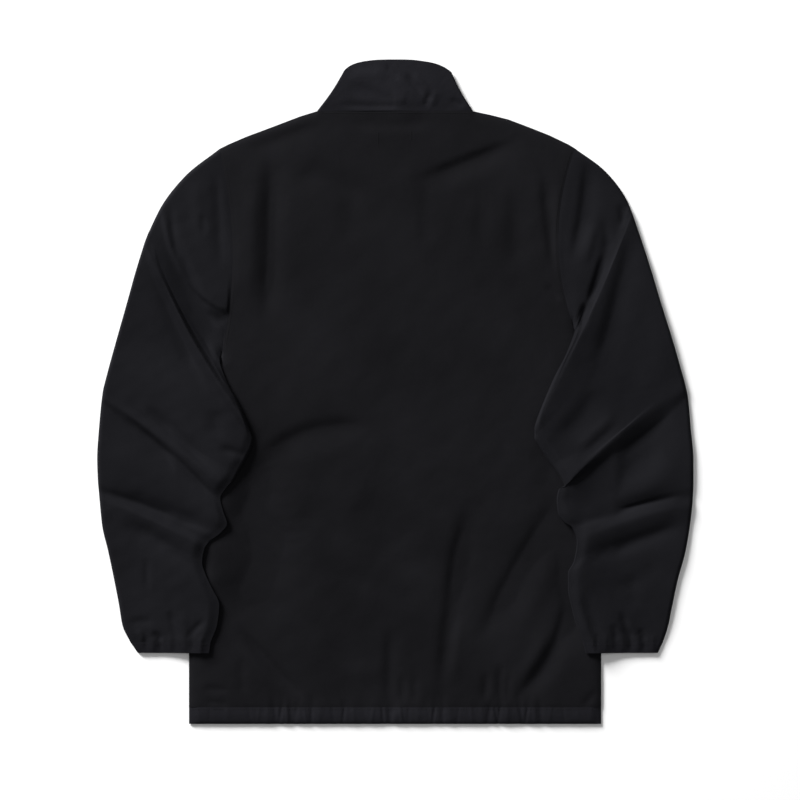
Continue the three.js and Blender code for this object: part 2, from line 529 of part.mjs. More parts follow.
// Pull tab: a flat plate with a window round the slider's bar, pointing out of the neck
function pullTab() {
  const plate = new THREE.Shape([[-3, -0.4], [3, -0.4], [3, 6], [2.2, 8], [2.2, 20], [1.2, 22], [-1.2, 22],
    [-2.2, 20], [-2.2, 8], [-3, 6]].map(([x, y]) => new THREE.Vector2(x, y)));
  plate.holes.push(new THREE.Path([[-1.5, 0.4], [-1.5, 5.2], [1.5, 5.2], [1.5, 0.4]]
    .map(([x, y]) => new THREE.Vector2(x, y))));
  const tab = new THREE.ExtrudeGeometry(plate, { depth: 0.8, bevelEnabled: false });
  return tab.translate(0, 0, -0.4).rotateX(-0.055).translate(0, SLIDER_Y, PIVOT_Z);
}

addPiece('front_left', front(leftSide, -1), CLOTH);
addPiece('front_right', front(rightSide, 1), CLOTH);
addPiece('back', back(), CLOTH);
addPiece('sleeve_left', sleeve(LEFT_SLEEVE, leftEdge), CLOTH);
addPiece('sleeve_right', sleeve(RIGHT_SLEEVE, rightEdge), CLOTH);
addPiece('cuff_left', cuff(LEFT_SLEEVE[LEFT_SLEEVE.length - 1], CUFFS.left, leftEdge), ELASTIC);
addPiece('cuff_right', cuff(RIGHT_SLEEVE[RIGHT_SLEEVE.length - 1], CUFFS.right, rightEdge), ELASTIC);
addPiece('collar', collar(), CLOTH);
addPiece('hem_band', hemBand(), ELASTIC);
addPiece('zip_tape_left', zipStrip(-13, -2.6, 1.5, 2.1, HEM_Y, COLLAR_FRONT_TOP_Y), TAPE);
addPiece('zip_tape_right', zipStrip(2.6, 13, 1.5, 2.1, HEM_Y, COLLAR_FRONT_TOP_Y), TAPE);
addPiece('zip_coil', zipStrip(-2.3, 2.3, 0.7, 2.0, HEM_Y, SLIDER_Y + 3.5), NYLON);
addPiece('zip_slider', slider(), METAL);
addPiece('zip_pull', pullTab(), METAL);

export default windbreaker;
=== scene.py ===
# A black windbreaker, laid flat on its front and seen from straight above, back up.
import math

import bpy
import numpy as np
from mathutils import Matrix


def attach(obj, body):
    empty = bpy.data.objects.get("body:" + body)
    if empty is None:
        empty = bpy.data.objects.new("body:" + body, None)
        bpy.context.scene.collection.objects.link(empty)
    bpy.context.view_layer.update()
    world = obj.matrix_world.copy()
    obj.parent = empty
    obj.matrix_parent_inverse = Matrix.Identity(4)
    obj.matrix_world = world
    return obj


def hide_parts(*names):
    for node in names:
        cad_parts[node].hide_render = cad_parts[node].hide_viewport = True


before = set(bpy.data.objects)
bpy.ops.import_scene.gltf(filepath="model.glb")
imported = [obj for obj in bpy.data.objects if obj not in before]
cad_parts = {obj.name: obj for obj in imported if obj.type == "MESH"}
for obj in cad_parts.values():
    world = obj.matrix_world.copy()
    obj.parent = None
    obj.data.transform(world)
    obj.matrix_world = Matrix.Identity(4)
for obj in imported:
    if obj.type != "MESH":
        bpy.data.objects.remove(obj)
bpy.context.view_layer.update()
MM = 0.001

# The back: one panel of thin plain-weave polyester, cut from hem to shoulders.
# It is sewn to the fronts at the shoulders and sides, and lies on them in soft folds.
HEM_SEAM_Y = -377.0
HEM_LEFT, HEM_RIGHT = -247.0, 246.0
NECK_LEFT, NECK_RIGHT = -93.0, 92.0
BACK_TOP, SIDE_TOP = 4.8, 2.7
SLEEVE_LIFT = 5.6
SLIDER_Y = 344.0
LEFT_UNDERARM, RIGHT_UNDERARM = (-261.0, 4.0), (261.0, 8.0)
SHOULDERS = np.array([
    (-211, 290.5), (-200, 296), (-178, 305.5), (-155, 314), (-134, 322), (-113, 330), (-93, 336),
    (0, 336), (92, 336), (113, 331.5), (135, 326), (160, 316.5), (184, 307), (207, 296), (214.5, 291.5),
])


def sleeve_table(rows):
    """Rows with the lower layer's lift added: none at the armhole, full from the fourth row on."""
    lift = np.full((len(rows), 1), SLEEVE_LIFT)
    lift[:3, 0] = (0, 0, 2.4)
    return np.hstack([rows, lift])


# Sections of a sleeve from the armhole down, a row for each fold or flat, in mm:
# outer edge x, y; inner edge x, y; shift of the middle x, y; three heights.
LEFT_SLEEVE = sleeve_table([
    (-211, 290.5, -207, 50, 14, 0, 4.8, 4.8, 4.8),
    (-250, 260, -207.5, 45.5, 8, 2, 5.0, 5.2, 4.8),
    (-279, 224, -208.5, 40.5, 1, 2, 6.8, 5.0, 4.6),
    (-294, 194, -209.5, 35, -6.5, -3, 9.0, 5.6, 4.0),
    (-296, 190, -201, 12, -7, -4, 9.2, 6.0, 7.6),
    (-297.5, 186, -187, -13, -7, -4, 9.4, 7.8, 10.4),
    (-299.5, 181, -175, -41, -7.5, -4, 10.0, 12.8, 15.0),
    (-303, 170, -170, -59, -11.5, -6.5, 6.6, 8.4, 11.0),
    (-311, 144, -172, -68, -14, -8, 7.0, 8.8, 11.2),
    (-321, 108, -177, -78, -14, -8, 7.8, 9.6, 11.4),
    (-334, 62, -183, -89, -12, -7, 8.0, 9.2, 11.0),
    (-345, 22, -188, -97, -8, -5, 7.6, 8.4, 10.6),
    (-350, 2, -193, -106, 2, 2, 7.2, 8.8, 11.6),
    (-351, -5, -200, -114, 1, 1, 7.8, 10.8, 13.4),
    (-352, -13, -208, -128, -1, -3, 5.0, 5.4, 9.0),
    (-354.5, -40, -205, -142, 0, 0, 6.2, 7.0, 9.6),
    (-357, -79, -200, -158, 0, 4, 7.2, 8.4, 10.6),
    (-356, -108, -208, -169, 0, 3, 6.6, 7.4, 9.8),
    (-355, -119, -221, -179, 0, 4.5, 4.6, 4.8, 8.8),
    (-354, -130, -227, -187, 0, 4, 7.0, 9.8, 12.2),
    (-351, -160, -230, -204, 0, 6, 5.6, 7.2, 10.2),
    (-344, -190, -226, -218, 0, 3, 6.6, 7.8, 9.8),
    (-337, -223, -218, -235, 0, 2, 6.4, 7.6, 9.8),
    (-331, -254, -209.5, -255, 0, 0, 6.2, 7.0, 9.6),
    (-326.5, -280, -212, -277, 0, 0, 5.4, 6.0, 9.2),
    (-317.5, -299, -220, -299, 0, 0, 4.4, 5.0, 8.8),
])
RIGHT_SLEEVE = sleeve_table([
    (214.5, 291.5, 210.6, 85, -18, 0, 4.8, 4.8, 4.8),
    (249, 266, 212, 81, -11, 1, 5.0, 5.2, 4.8),
    (270, 241, 213, 77, -4, 1, 4.8, 4.4, 4.8),
    (278, 227, 214, 73, 0, 0, 4.2, 3.8, 5.0),
    (280, 222, 204.6, 46.8, 5, -2, 5.2, 5.6, 8.4),
    (282, 217, 188, 14, 6, -3, 6.2, 8.0, 10.6),
    (284, 212, 166, -44, 4, -2, 7.2, 10.8, 12.8),
    (290.5, 193, 166, -55, 18, -9, 6.2, 8.4, 11.0),
    (304, 152, 171, -64, 20, -10, 6.8, 7.8, 10.4),
    (318.5, 104, 177, -74, 18, -9, 7.6, 7.8, 9.8),
    (332, 61, 185.5, -86, 13, -7, 7.8, 8.4, 10.0),
    (342, 26, 194, -98, 7, -4, 7.4, 9.8, 12.0),
    (347, 8, 202, -112, -4, 5, 7.6, 11.0, 13.8),
    (350, -7, 195, -116.5, 3, -5, 4.8, 5.2, 8.8),
    (353, -40, 192.5, -130, 0, -4, 5.8, 6.4, 9.2),
    (356.5, -82, 194, -144, 0, -2, 7.0, 7.8, 9.6),
    (356.5, -112, 201, -156, 0, 0, 6.6, 7.4, 9.4),
    (356, -123, 210.5, -162, 0, 6, 5.0, 4.8, 8.8),
    (355, -137, 216.5, -179, 0, 5, 7.0, 9.6, 12.0),
    (352, -162, 213, -202, 0, 4, 5.4, 6.4, 9.6),
    (347, -191, 206, -217, 0, 3, 6.4, 7.8, 9.8),
    (338, -224, 206, -235, 0, 0, 6.4, 7.6, 9.6),
    (330.5, -259, 210.5, -259, 0, 0, 6.2, 7.0, 9.4),
    (326, -281, 216.5, -281, 0, 0, 5.4, 6.0, 9.2),
    (320, -299, 224, -299, 0, 0, 4.4, 5.0, 8.8),
])

# Folds of the back, in mm: from x, y; by x, y; to x, y; depth, below zero for a trough;
# half widths to the left and right of its direction.
BACK_FOLDS = [
    (-168, 286, -172, 194, -176, 90, 2.2, 10, 16),
    (-150, 300, -146, 194, -156, 60, -3.4, 15, 9),
    (-76, 326, -135, 308, -200, 288, -1.7, 16, 8),
    (-132, 262, -80, 262, -34, 232, -1.8, 16, 14),
    (-58, 262, -54, 222, -50, 170, -1.0, 14, 12),
    (156, 302, 89, 279, 14, 246, -2.8, 17, 6),
    (128, 276, 84, 252, 30, 228, 0.5, 12, 12),
    (36, 262, 35, 215, 35, 170, -1.0, 12, 8),
    (104, 256, 103, 210, 100, 160, -1.1, 14, 9),
    (141, 252, 145, 195, 141, 134, -1.8, 17, 11),
    (176, 276, 182, 204, 192, 134, -2.3, 12, 6),
    (196, 262, 197, 200, 199, 140, 1.0, 6, 8),
    (179, 130, 188, 120, 198, 108, -1.0, 4, 4),
    (-168, -92, -112, -24, -12, -46, -3.0, 9, 18),
    (-128, -92, -100, -74, -52, -72, 0.5, 12, 12),
    (-190, -276, -152, -322, -98, -378, -3.0, 3.5, 8),
    (-196, -292, -166, -330, -140, -362, 1.2, 8, 8),
    (-154, -236, -118, -262, -88, -304, -1.4, 15, 15),
    (-90, -290, -66, -308, -46, -334, -1.1, 12, 12),
    (-6, -276, -8, -330, -8, -392, -1.9, 10, 6),
    (90, -120, 64, -240, 52, -396, -3.2, 14, 8),
    (94, -120, 82, -190, 74, -270, -1.8, 24, 15),
    (79, -262, 72, -310, 67, -356, 1.3, 7, 7),
    (200, -124, 146, -206, 96, -312, -3.6, 20, 10),
    (200, -180, 172, -236, 136, -306, 0.7, 12, 12),
    (216, -226, 196, -324, 132, -380, -3.1, 13, 7),
    (184, -280, 168, -322, 140, -352, 1.4, 8, 9),
    (200, -176, 208, -250, 216, -324, -2.0, 12, 11),
    (-120, -126, -86, -156, -56, -196, -1.5, 18, 16),
    (-52, -128, -16, -156, 20, -194, -1.5, 18, 15),
    (-98, -196, -58, -218, -20, -246, -1.3, 17, 14),
    (-40, -176, 10, -198, 60, -222, -1.3, 18, 14),
    (-34, -228, 0, -240, 30, -256, -1.0, 13, 12),
    (-120, 40, -60, 70, 30, 60, 0.8, 30, 30),
    (-30, -20, 60, 0, 130, -30, 0.8, 32, 32),
    (8, -334, 8, -355, 9, -376, -1.3, 4, 4),
    (23, -338, 23, -355, 24, -376, -1.1, 4, 4),
    (108, -330, 109, -352, 107, -376, -1.5, 4, 5),
    (125, -322, 126, -350, 124, -376, -1.7, 4, 5),
    (134, -334, 135, -352, 133, -376, -1.2, 4, 4),
    (-184, -310, -184, -340, -182, -372, -0.9, 6, 6),
    (-232, -355, -214, -354, -194, -358, -0.9, 4, 4),
    (-232, -371, -214, -371, -194, -373, -0.8, 3, 3),
    (224, -377, 232, -366, 244, -356, -1.3, 4, 4),
    (-226, -84, -186, -122, -226, -160, 2.4, 18, 12),
    (-236, -158, -200, -200, -228, -254, 2.4, 19, 12),
    (-188, -62, -136, -122, -206, -178, -4.2, 32, 18),
    (-158, -134, -138, -206, -208, -286, -4.4, 34, 22),
    (190, 10, 202, -120, 226, -310, -3.2, 16, 36),
    (-74, 326, 0, 314, 62, 326, -1.4, 14, 8),
    (-60, -330, -30, -340, -10, -330, 0.5, 12, 12),
]


def smooth(t):
    """Ease from 0 to 1: three t squared less two t cubed, held outside."""
    t = np.clip(t, 0.0, 1.0)
    return t * t * (3.0 - 2.0 * t)


def soft_max(a, b, ease):
    """The larger of two heights, with the corner between them rounded by ease."""
    return (a + b) / 2 + np.sqrt((a - b) ** 2 / 4 + ease ** 2) - ease * 0.5


def quarter(t):
    """Quarter circle from 0 to 1, upright at its start and level at its end."""
    return np.sqrt(1.0 - (1.0 - np.clip(t, 0.0, 1.0)) ** 2)


FOLD_STEPS = 12
FOLD_END = 0.35


def fold_relief(x, y, folds):
    """Sum of soft lines: depth times a bell of the distance to a bent line, fading at its ends."""
    height = np.zeros_like(x)
    for ax, ay, bx, by, cx, cy, depth, left_width, right_width in folds:
        t = np.linspace(0.0, 1.0, FOLD_STEPS + 1)
        px = (1 - t) ** 2 * ax + 2 * t * (1 - t) * bx + t * t * cx
        py = (1 - t) ** 2 * ay + 2 * t * (1 - t) * by + t * t * cy
        best = np.full(x.shape, 1e9)
        along = np.zeros_like(x)
        width = np.full(x.shape, float(left_width))
        for i in range(FOLD_STEPS):
            rx, ry = px[i + 1] - px[i], py[i + 1] - py[i]
            k = np.clip(((x - px[i]) * rx + (y - py[i]) * ry) / (rx * rx + ry * ry), 0, 1)
            far = np.hypot(x - px[i] - k * rx, y - py[i] - k * ry)
            nearer = far < best
            best = np.where(nearer, far, best)
            along = np.where(nearer, (i + k) / FOLD_STEPS, along)
            left = rx * (y - py[i]) - ry * (x - px[i]) > 0
            width = np.where(nearer, np.where(left, left_width, right_width), width)
        ends = smooth(along / FOLD_END) * smooth((1 - along) / FOLD_END)
        height += depth * ends * np.exp(-(best / width) ** 2)
    return height


def place_mesh(name, mesh):
    """Object of its own for a mesh, at the origin."""
    piece = bpy.data.objects.new(name, mesh)
    bpy.context.scene.collection.objects.link(piece)
    return piece


SHARP_CORNER = math.radians(55)


def wall_mesh(name, outer, inner, closed, cloth):
    """Closed wall between two like grids of points in mm; cloth is each point's place on the weave."""
    rows, columns = outer.shape[:2]
    last = columns if closed else columns - 1
    i, j = np.meshgrid(np.arange(rows - 1), np.arange(last), indexing="ij")
    n = (j + 1) % columns
    quads = np.stack([i * columns + j, i * columns + n, (i + 1) * columns + n, (i + 1) * columns + j], -1)
    quads = quads.reshape(-1, 4)
    shift = rows * columns
    j = np.arange(last)
    n = (j + 1) % columns
    end = (rows - 1) * columns
    faces = [quads, quads[:, ::-1] + shift,
             np.stack([j, j + shift, n + shift, n], -1),
             np.stack([end + j, end + n, end + n + shift, end + j + shift], -1)]
    if not closed:
        i = np.arange(rows - 1) * columns
        faces.append(np.stack([i, i + columns, i + columns + shift, i + shift], -1))
        i = i + columns - 1
        faces.append(np.stack([i, i + shift, i + columns + shift, i + columns], -1))
    faces = np.concatenate(faces)
    points = np.concatenate([outer.reshape(-1, 3), inner.reshape(-1, 3)]) * MM
    a, b, c = points[faces[:, 0]], points[faces[:, 1]], points[faces[:, 2]]
    d = points[faces[:, 3]]
    volume = np.sum(a * np.cross(b, c)) + np.sum(a * np.cross(c, d))
    if volume < 0:
        faces = faces[:, ::-1]
    mesh = bpy.data.meshes.new(name)
    mesh.from_pydata(points.tolist(), [], faces.tolist())
    weave = mesh.uv_layers.new(name="UVMap")
    both = np.concatenate([cloth.reshape(-1, 2), cloth.reshape(-1, 2)]) * MM
    weave.data.foreach_set("uv", both[faces.ravel()].ravel())
    mesh.polygons.foreach_set("use_smooth", np.ones(len(faces), dtype=bool))
    mesh.update()
    mesh.set_sharp_from_angle(angle=SHARP_CORNER)
    return place_mesh(name, mesh)


def section_points(row, t):
    """Points of a section: straight from its outer to its inner edge, bowed by its middle's shift."""
    bulge = 4 * t * (1 - t)
    x = row[..., 0] + (row[..., 2] - row[..., 0]) * t + bulge * row[..., 4]
    y = row[..., 1] + (row[..., 3] - row[..., 1]) * t + bulge * row[..., 5]
    return x, y


UPRIGHT_BELOW = -300.0


def body_side(table, underarm, hem, counts, shift):
    """Side of the body: along the armhole, under the sleeve to the underarm, down to the hem.

    The lowest part stands upright, and the rest leans out to the underarm.
    """
    arm, under, side = counts
    ax, ay = section_points(table[0], np.linspace(0, 1, arm))
    corner = table[3, 2:4]
    parts = [np.stack([ax + shift, ay], -1)]
    parts.append(np.linspace(corner + (shift, 0), underarm, under))
    down = np.linspace(underarm, hem, side + 1)[1:]
    down[:, 0] = hem[0] + (underarm[0] - hem[0]) * smooth((down[:, 1] - UPRIGHT_BELOW) / -UPRIGHT_BELOW)
    parts.append(down)
    return np.concatenate(parts)


SLIDER_SWELL, SWELL_REACH = 3.4, 40.0


def zip_rise(x, y):
    """Swell of the layers that lie over the zip's slider: a round bell."""
    return SLIDER_SWELL * np.exp(-(x / SWELL_REACH) ** 2 - ((y - SLIDER_Y) / SWELL_REACH) ** 2)


# Gathers of the hem: place along it and depth, in mm, below zero for a trough.
HEM_PUCKERS = [
    (-222, -0.4), (-200, 0.4), (-176, -0.5), (-163, 0.4), (-153, 0.5), (-145, -1.3), (-136, -1.2),
    (-130, 0.7), (-125, -1.1), (-118, -0.9), (-109, 0.6), (-100, -1.2), (-90, 0.5), (-76, -0.6),
    (-61, -1.1), (-50, 0.6), (-38, -0.5), (-26, 0.6), (-16, -1.2), (-8, -1.1), (-3, -0.9), (5, 0.8),
    (16, -0.5), (28, 0.5), (38, -0.4), (47, -1.2), (56, -1.2), (64, 0.6), (76, -0.5), (90, 0.5),
    (103, 0.5), (113, -1.4), (119, -1.2), (125, -1.4), (134, 0.9), (149, -1.3), (158, -1.3),
    (166, 0.7), (173, -1.2), (186, 0.5), (200, -0.5), (218, 0.3),
]
PUCKER_REACH = 20.0


def hem_puckers(x, y):
    """Short gathers about the hem's seam, each a leaning bell across the hem."""
    waves = np.zeros_like(x)
    for number, (place, depth) in enumerate(HEM_PUCKERS):
        lean = 0.16 * np.sin(number * 2.3)
        width = 2.6 + 0.9 * np.sin(number * 1.7)
        waves += depth * np.exp(-((x - place - lean * (y - HEM_SEAM_Y)) / width) ** 2)
    return waves * (1 - smooth((y - HEM_SEAM_Y) / PUCKER_REACH))


WAVE_COUNT = 7


def slow_waves(x, y, seed, size, strength):
    """Uneven lie of the cloth: a few crossing sine waves with seeded directions and phases."""
    rng = np.random.default_rng(seed)
    total = np.zeros_like(x)
    for _ in range(WAVE_COUNT):
        angle, phase = rng.uniform(0, math.tau, 2)
        length = size * rng.uniform(0.6, 1.6)
        total += np.sin((x * np.cos(angle) + y * np.sin(angle)) * math.tau / length + phase)
    return total * strength / WAVE_COUNT


# Points down each side: along the armhole, under the sleeve, along the side seam.
SIDE_COUNTS = (82, 14, 138)
CLOTH_WALL = 0.6
SEAM_GAP = 0.05
left_side = body_side(LEFT_SLEEVE, LEFT_UNDERARM, (HEM_LEFT, HEM_SEAM_Y), SIDE_COUNTS, SEAM_GAP)
right_side = body_side(RIGHT_SLEEVE, RIGHT_UNDERARM, (HEM_RIGHT, HEM_SEAM_Y), SIDE_COUNTS, -SEAM_GAP)
UPPER_EDGE_FADE = 190.0


def panel_plan(left, right, columns, upper):
    """Rows from the left to the right side, the first along the upper edge and its shape fading down."""
    fade = 1 - smooth((left[0, 1] - left[:, 1]) / UPPER_EDGE_FADE)
    x = left[:, :1] + (right[:, :1] - left[:, :1]) * columns
    y = left[:, 1:] + (right[:, 1:] - left[:, 1:]) * columns
    straight = left[0, 1] + (right[0, 1] - left[0, 1]) * columns
    return x, y + (upper - straight) * fade[:, None]


def back_relief(x, y):
    """Folds of the back on two sizes of slow waves."""
    return fold_relief(x, y, BACK_FOLDS) + slow_waves(x, y, 4, 130, 1.0) + slow_waves(x, y, 9, 46, 0.3)


# The back rounds down over EDGE_ROUND mm and is never lower than BACK_LEAST.
# Relief fades out over RELIEF_FADE mm at a free edge and over ARMHOLE_FADE at an armhole.
EDGE_ROUND, RELIEF_FADE, ARMHOLE_FADE = 15.0, 20.0, 8.0
BACK_LEAST = 1.9
SEAM_DIP, SEAM_HALF_WIDTH = 0.28, 1.8
PUCKERS_ABOVE_SEAM = 0.7
# A distance beyond the reach of every seam, in mm.
CLEAR = 99.0


def make_back():
    """Upper face of the back: plain height, rounded down to its seams, with folds and slow waves."""
    shoulder_width = SHOULDERS[-1, 0] - SHOULDERS[0, 0]
    neck_start = (NECK_LEFT - SHOULDERS[0, 0]) / shoulder_width
    neck_end = (NECK_RIGHT - SHOULDERS[0, 0]) / shoulder_width
    columns = np.concatenate([
        np.linspace(0, neck_start, 44),
        np.linspace(neck_start, neck_end, 62)[1:],
        np.linspace(neck_end, 1, 46)[1:],
    ])
    along = SHOULDERS[0, 0] + columns * shoulder_width
    upper = np.interp(along, SHOULDERS[:, 0], SHOULDERS[:, 1])
    x, y = panel_plan(left_side, right_side, columns, upper)
    neck = (x > NECK_LEFT) & (x < NECK_RIGHT)
    below_armhole = (np.arange(len(left_side)) >= SIDE_COUNTS[0])[:, None]
    side = np.minimum(x - left_side[:, :1], right_side[:, :1] - x)
    far = np.minimum(np.where(neck, RELIEF_FADE, upper - y), np.where(below_armhole, side, RELIEF_FADE))
    plain = SIDE_TOP + (BACK_TOP - SIDE_TOP) * quarter(far / EDGE_ROUND)
    arm = np.where(below_armhole, CLEAR, side)
    relief = back_relief(x, y) * smooth(arm / ARMHOLE_FADE) + hem_puckers(x, y) * PUCKERS_ABOVE_SEAM
    seam = np.minimum(np.minimum(arm, y - HEM_SEAM_Y), np.where(neck, upper - y, CLEAR))
    dip = SEAM_DIP * np.exp(-(seam / SEAM_HALF_WIDTH) ** 2)
    z = np.maximum(plain + relief * smooth(far / RELIEF_FADE), BACK_LEAST) + zip_rise(x, y) - dip
    top = np.stack([x, y, z], -1)
    under = top - (0, 0, CLOTH_WALL)
    return wall_mesh("back_panel", top, under, False, np.stack([x, y], -1))


back_panel = make_back()

# Shell cloth: a matt black plain weave, 0.45 mm a thread, a little paler where it turns to the light.
# The weave follows the cloth's own thread directions, and its surface keeps small uneven puckers.


def add_noise(tree, scale, detail=2.0):
    """Noise on the piece's Object coordinates; gives its factor."""
    place = tree.nodes.new("ShaderNodeTexCoord")
    noise = tree.nodes.new("ShaderNodeTexNoise")
    noise.inputs["Scale"].default_value = scale
    noise.inputs["Detail"].default_value = detail
    tree.links.new(place.outputs["Object"], noise.inputs["Vector"])
    return noise.outputs["Fac"]


def add_bump(tree, height, strength, distance, normal=None):
    """Bump by a height, on top of an earlier normal where there is one; gives its normal."""
    bump = tree.nodes.new("ShaderNodeBump")
    bump.inputs["Strength"].default_value = strength
    bump.inputs["Distance"].default_value = distance
    tree.links.new(height, bump.inputs["Height"])
    if normal is not None:
        tree.links.new(normal, bump.inputs["Normal"])
    return bump.outputs["Normal"]


def weave_group():
    """Height of a plain weave, sine across times sine along, and a slow tone change."""
    group = bpy.data.node_groups.new("plain_weave", "ShaderNodeTree")
    face = group.interface
    thread = face.new_socket("Threads per metre", in_out="INPUT", socket_type="NodeSocketFloat")
    thread.default_value = 2200
    face.new_socket("Height", in_out="OUTPUT", socket_type="NodeSocketFloat")
    face.new_socket("Tone", in_out="OUTPUT", socket_type="NodeSocketFloat")
    nodes, links = group.nodes, group.links
    given = nodes.new("NodeGroupInput")
    result = nodes.new("NodeGroupOutput")
    place = nodes.new("ShaderNodeTexCoord")
    scaled = nodes.new("ShaderNodeVectorMath")
    scaled.operation = "SCALE"
    links.new(place.outputs["UV"], scaled.inputs[0])
    links.new(given.outputs["Threads per metre"], scaled.inputs["Scale"])
    parts = nodes.new("ShaderNodeSeparateXYZ")
    links.new(scaled.outputs[0], parts.inputs[0])

    def math_node(operation, *sources):
        """Math node fed by outputs or plain numbers; gives its value."""
        node = nodes.new("ShaderNodeMath")
        node.operation = operation
        for socket, source in zip(node.inputs, sources):
            if isinstance(source, float):
                socket.default_value = source
            else:
                links.new(source, socket)
        return node.outputs[0]

    across = math_node("SINE", math_node("MULTIPLY", parts.outputs["X"], math.pi))
    along = math_node("SINE", math_node("MULTIPLY", parts.outputs["Y"], math.pi))
    links.new(math_node("MULTIPLY", across, along), result.inputs["Height"])
    links.new(add_noise(group, 9, 4), result.inputs["Tone"])
    return group


plain_weave = weave_group()


def cloth_material(name, dark, light, roughness, sheen, pucker):
    """Woven cloth: tone between dark and light, fine weave bump and soft puckers of a few mm."""
    material = bpy.data.materials.new(name)
    material.use_nodes = True
    nodes, links = material.node_tree.nodes, material.node_tree.links
    shader = nodes["Principled BSDF"]
    shader.inputs["Roughness"].default_value = roughness
    shader.inputs["Specular IOR Level"].default_value = 0.12
    shader.inputs["IOR"].default_value = 1.22
    shader.inputs["Sheen Weight"].default_value = sheen
    shader.inputs["Sheen Roughness"].default_value = 0.4
    weave = nodes.new("ShaderNodeGroup")
    weave.node_tree = plain_weave
    ramp = nodes.new("ShaderNodeValToRGB")
    ramp.color_ramp.elements[0].position = 0.3
    ramp.color_ramp.elements[0].color = (*dark, 1)
    ramp.color_ramp.elements[1].position = 0.7
    ramp.color_ramp.elements[1].color = (*light, 1)
    links.new(weave.outputs["Tone"], ramp.inputs["Fac"])
    links.new(ramp.outputs["Color"], shader.inputs["Base Color"])
    tree = material.node_tree
    puckers = add_bump(tree, add_noise(tree, 70, 3), strength=pucker, distance=0.0012)
    threads = add_bump(tree, weave.outputs["Height"], strength=0.35, distance=0.00012, normal=puckers)
    links.new(threads, shader.inputs["Normal"])
    return material


shell_cloth = cloth_material(
    "shell_cloth", dark=(0.0057, 0.0056, 0.0066), light=(0.0081, 0.0080, 0.0094),
    roughness=0.74, sheen=0.006, pucker=0.35)


def finish_piece(piece, material, slot, body, *nodes):
    """Give a piece its material and its body, and hide the nodes that it stands for; slot is not used."""
    piece.data.materials.clear()
    piece.data.materials.append(material)
    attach(piece, body)
    if nodes:
        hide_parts(*nodes)


finish_piece(back_panel, shell_cloth, "shell_cloth", "garment", "back")

# Sleeves: set in at the armholes, one piece of shell cloth each, sewn to a tube under the arm.
# Both are folded down over the sides, so their upper layer bunches in raised, rounded folds.
# These folds and gathers are written as those of the back are.
SLEEVE_FOLDS = {
    "left": [
        (-269, 224, -268, 190, -258, 150, -2.2, 5, 5),
        (-231, 214, -230, 202, -229, 186, -1.2, 4, 4),
        (-214, 272, -212, 222, -208, 140, -1.8, 5, 7),
        (-240, 262, -236, 220, -226, 160, 1.0, 9, 9),
        (-266, 196, -240, 102, -190, 16, -5.0, 6, 16),
        (-282, 262, -276, 84, -150, 92, 3.6, 24, 3),
        (-232, 103, -214, 100, -197, 94, 1.2, 5, 5),
        (-232, 93, -216, 88, -202, 82, -1.8, 6, 7),
        (-287, 156, -262, 74, -222, -8, -3.6, 4, 12),
        (-216, -18, -214, -36, -215, -56, -1.4, 10, 10),
        (-212, -66, -196, -70, -174, -79, -1.9, 5, 5),
        (-303, -16, -258, -52, -214, -100, -3.2, 8, 5),
        (-344, -14, -266, -72, -196, -148, -4.4, 4, 7),
        (-356, -116, -276, -142, -200, -174, -3.6, 10, 4),
        (-328, -152, -280, -172, -226, -226, -2.2, 9, 10),
        (-297, -196, -298, -214, -296, -240, -1.1, 4, 4),
        (-272, -260, -262, -276, -261, -300, -2.0, 4, 5),
        (-258, -262, -250, -280, -250, -300, 1.0, 5, 5),
        (-291, -286, -284, -292, -279, -299, -1.5, 4, 4),
        (-226, -270, -240, -284, -254, -298, -1.7, 4, 4),
        (-321, -278, -305, -272, -288, -275, -1.0, 5, 5),
        (-310, -284, -304, -290, -300, -299, 0.9, 4, 4),
        (-344, -60, -310, -90, -260, -120, 0.9, 14, 14),
        (-322, 60, -296, 20, -266, -14, 0.9, 16, 16),
    ],
    "right": [
        (230, 286, 230, 220, 210, 150, -3.4, 12, 6),
        (238, 206, 233, 180, 224, 148, 1.6, 6, 9),
        (242, 212, 262, 184, 246, 158, -1.8, 6, 6),
        (250, 170, 244, 136, 228, 100, -4.6, 6, 4),
        (228, 108, 224, 92, 218, 70, -4.4, 5, 4),
        (268, 226, 272, 212, 273, 196, -1.4, 4, 4),
        (286, 196, 268, 120, 234, -4, -3.2, 18, 9),
        (244, 6, 230, -30, 184, -64, -3.0, 16, 12),
        (266, -22, 240, -46, 212, -72, 1.0, 6, 6),
        (272, -34, 246, -56, 216, -82, -1.4, 9, 5),
        (336, -20, 284, -70, 204, -114, -2.0, 8, 4),
        (340, -30, 284, -98, 206, -152, -3.4, 22, 18),
        (192, -116, 216, -136, 244, -146, -2.6, 12, 12),
        (352, -122, 276, -133, 200, -166, -3.2, 4, 9),
        (350, -156, 290, -176, 226, -202, -2.3, 9, 7),
        (269, -260, 276, -280, 281, -300, -2.0, 4, 5),
        (260, -276, 262, -286, 263, -300, -1.4, 4, 4),
        (292, -282, 294, -290, 296, -300, -1.4, 4, 4),
        (208, -226, 218, -270, 232, -298, 1.5, 6, 7),
        (224, -236, 236, -272, 246, -296, -1.3, 7, 7),
        (280, -214, 284, -240, 286, -262, -1.0, 9, 9),
        (330, -196, 290, -226, 240, -248, -0.8, 12, 12),
        (350, -90, 300, -110, 240, -132, 0.9, 14, 14),
    ],
}
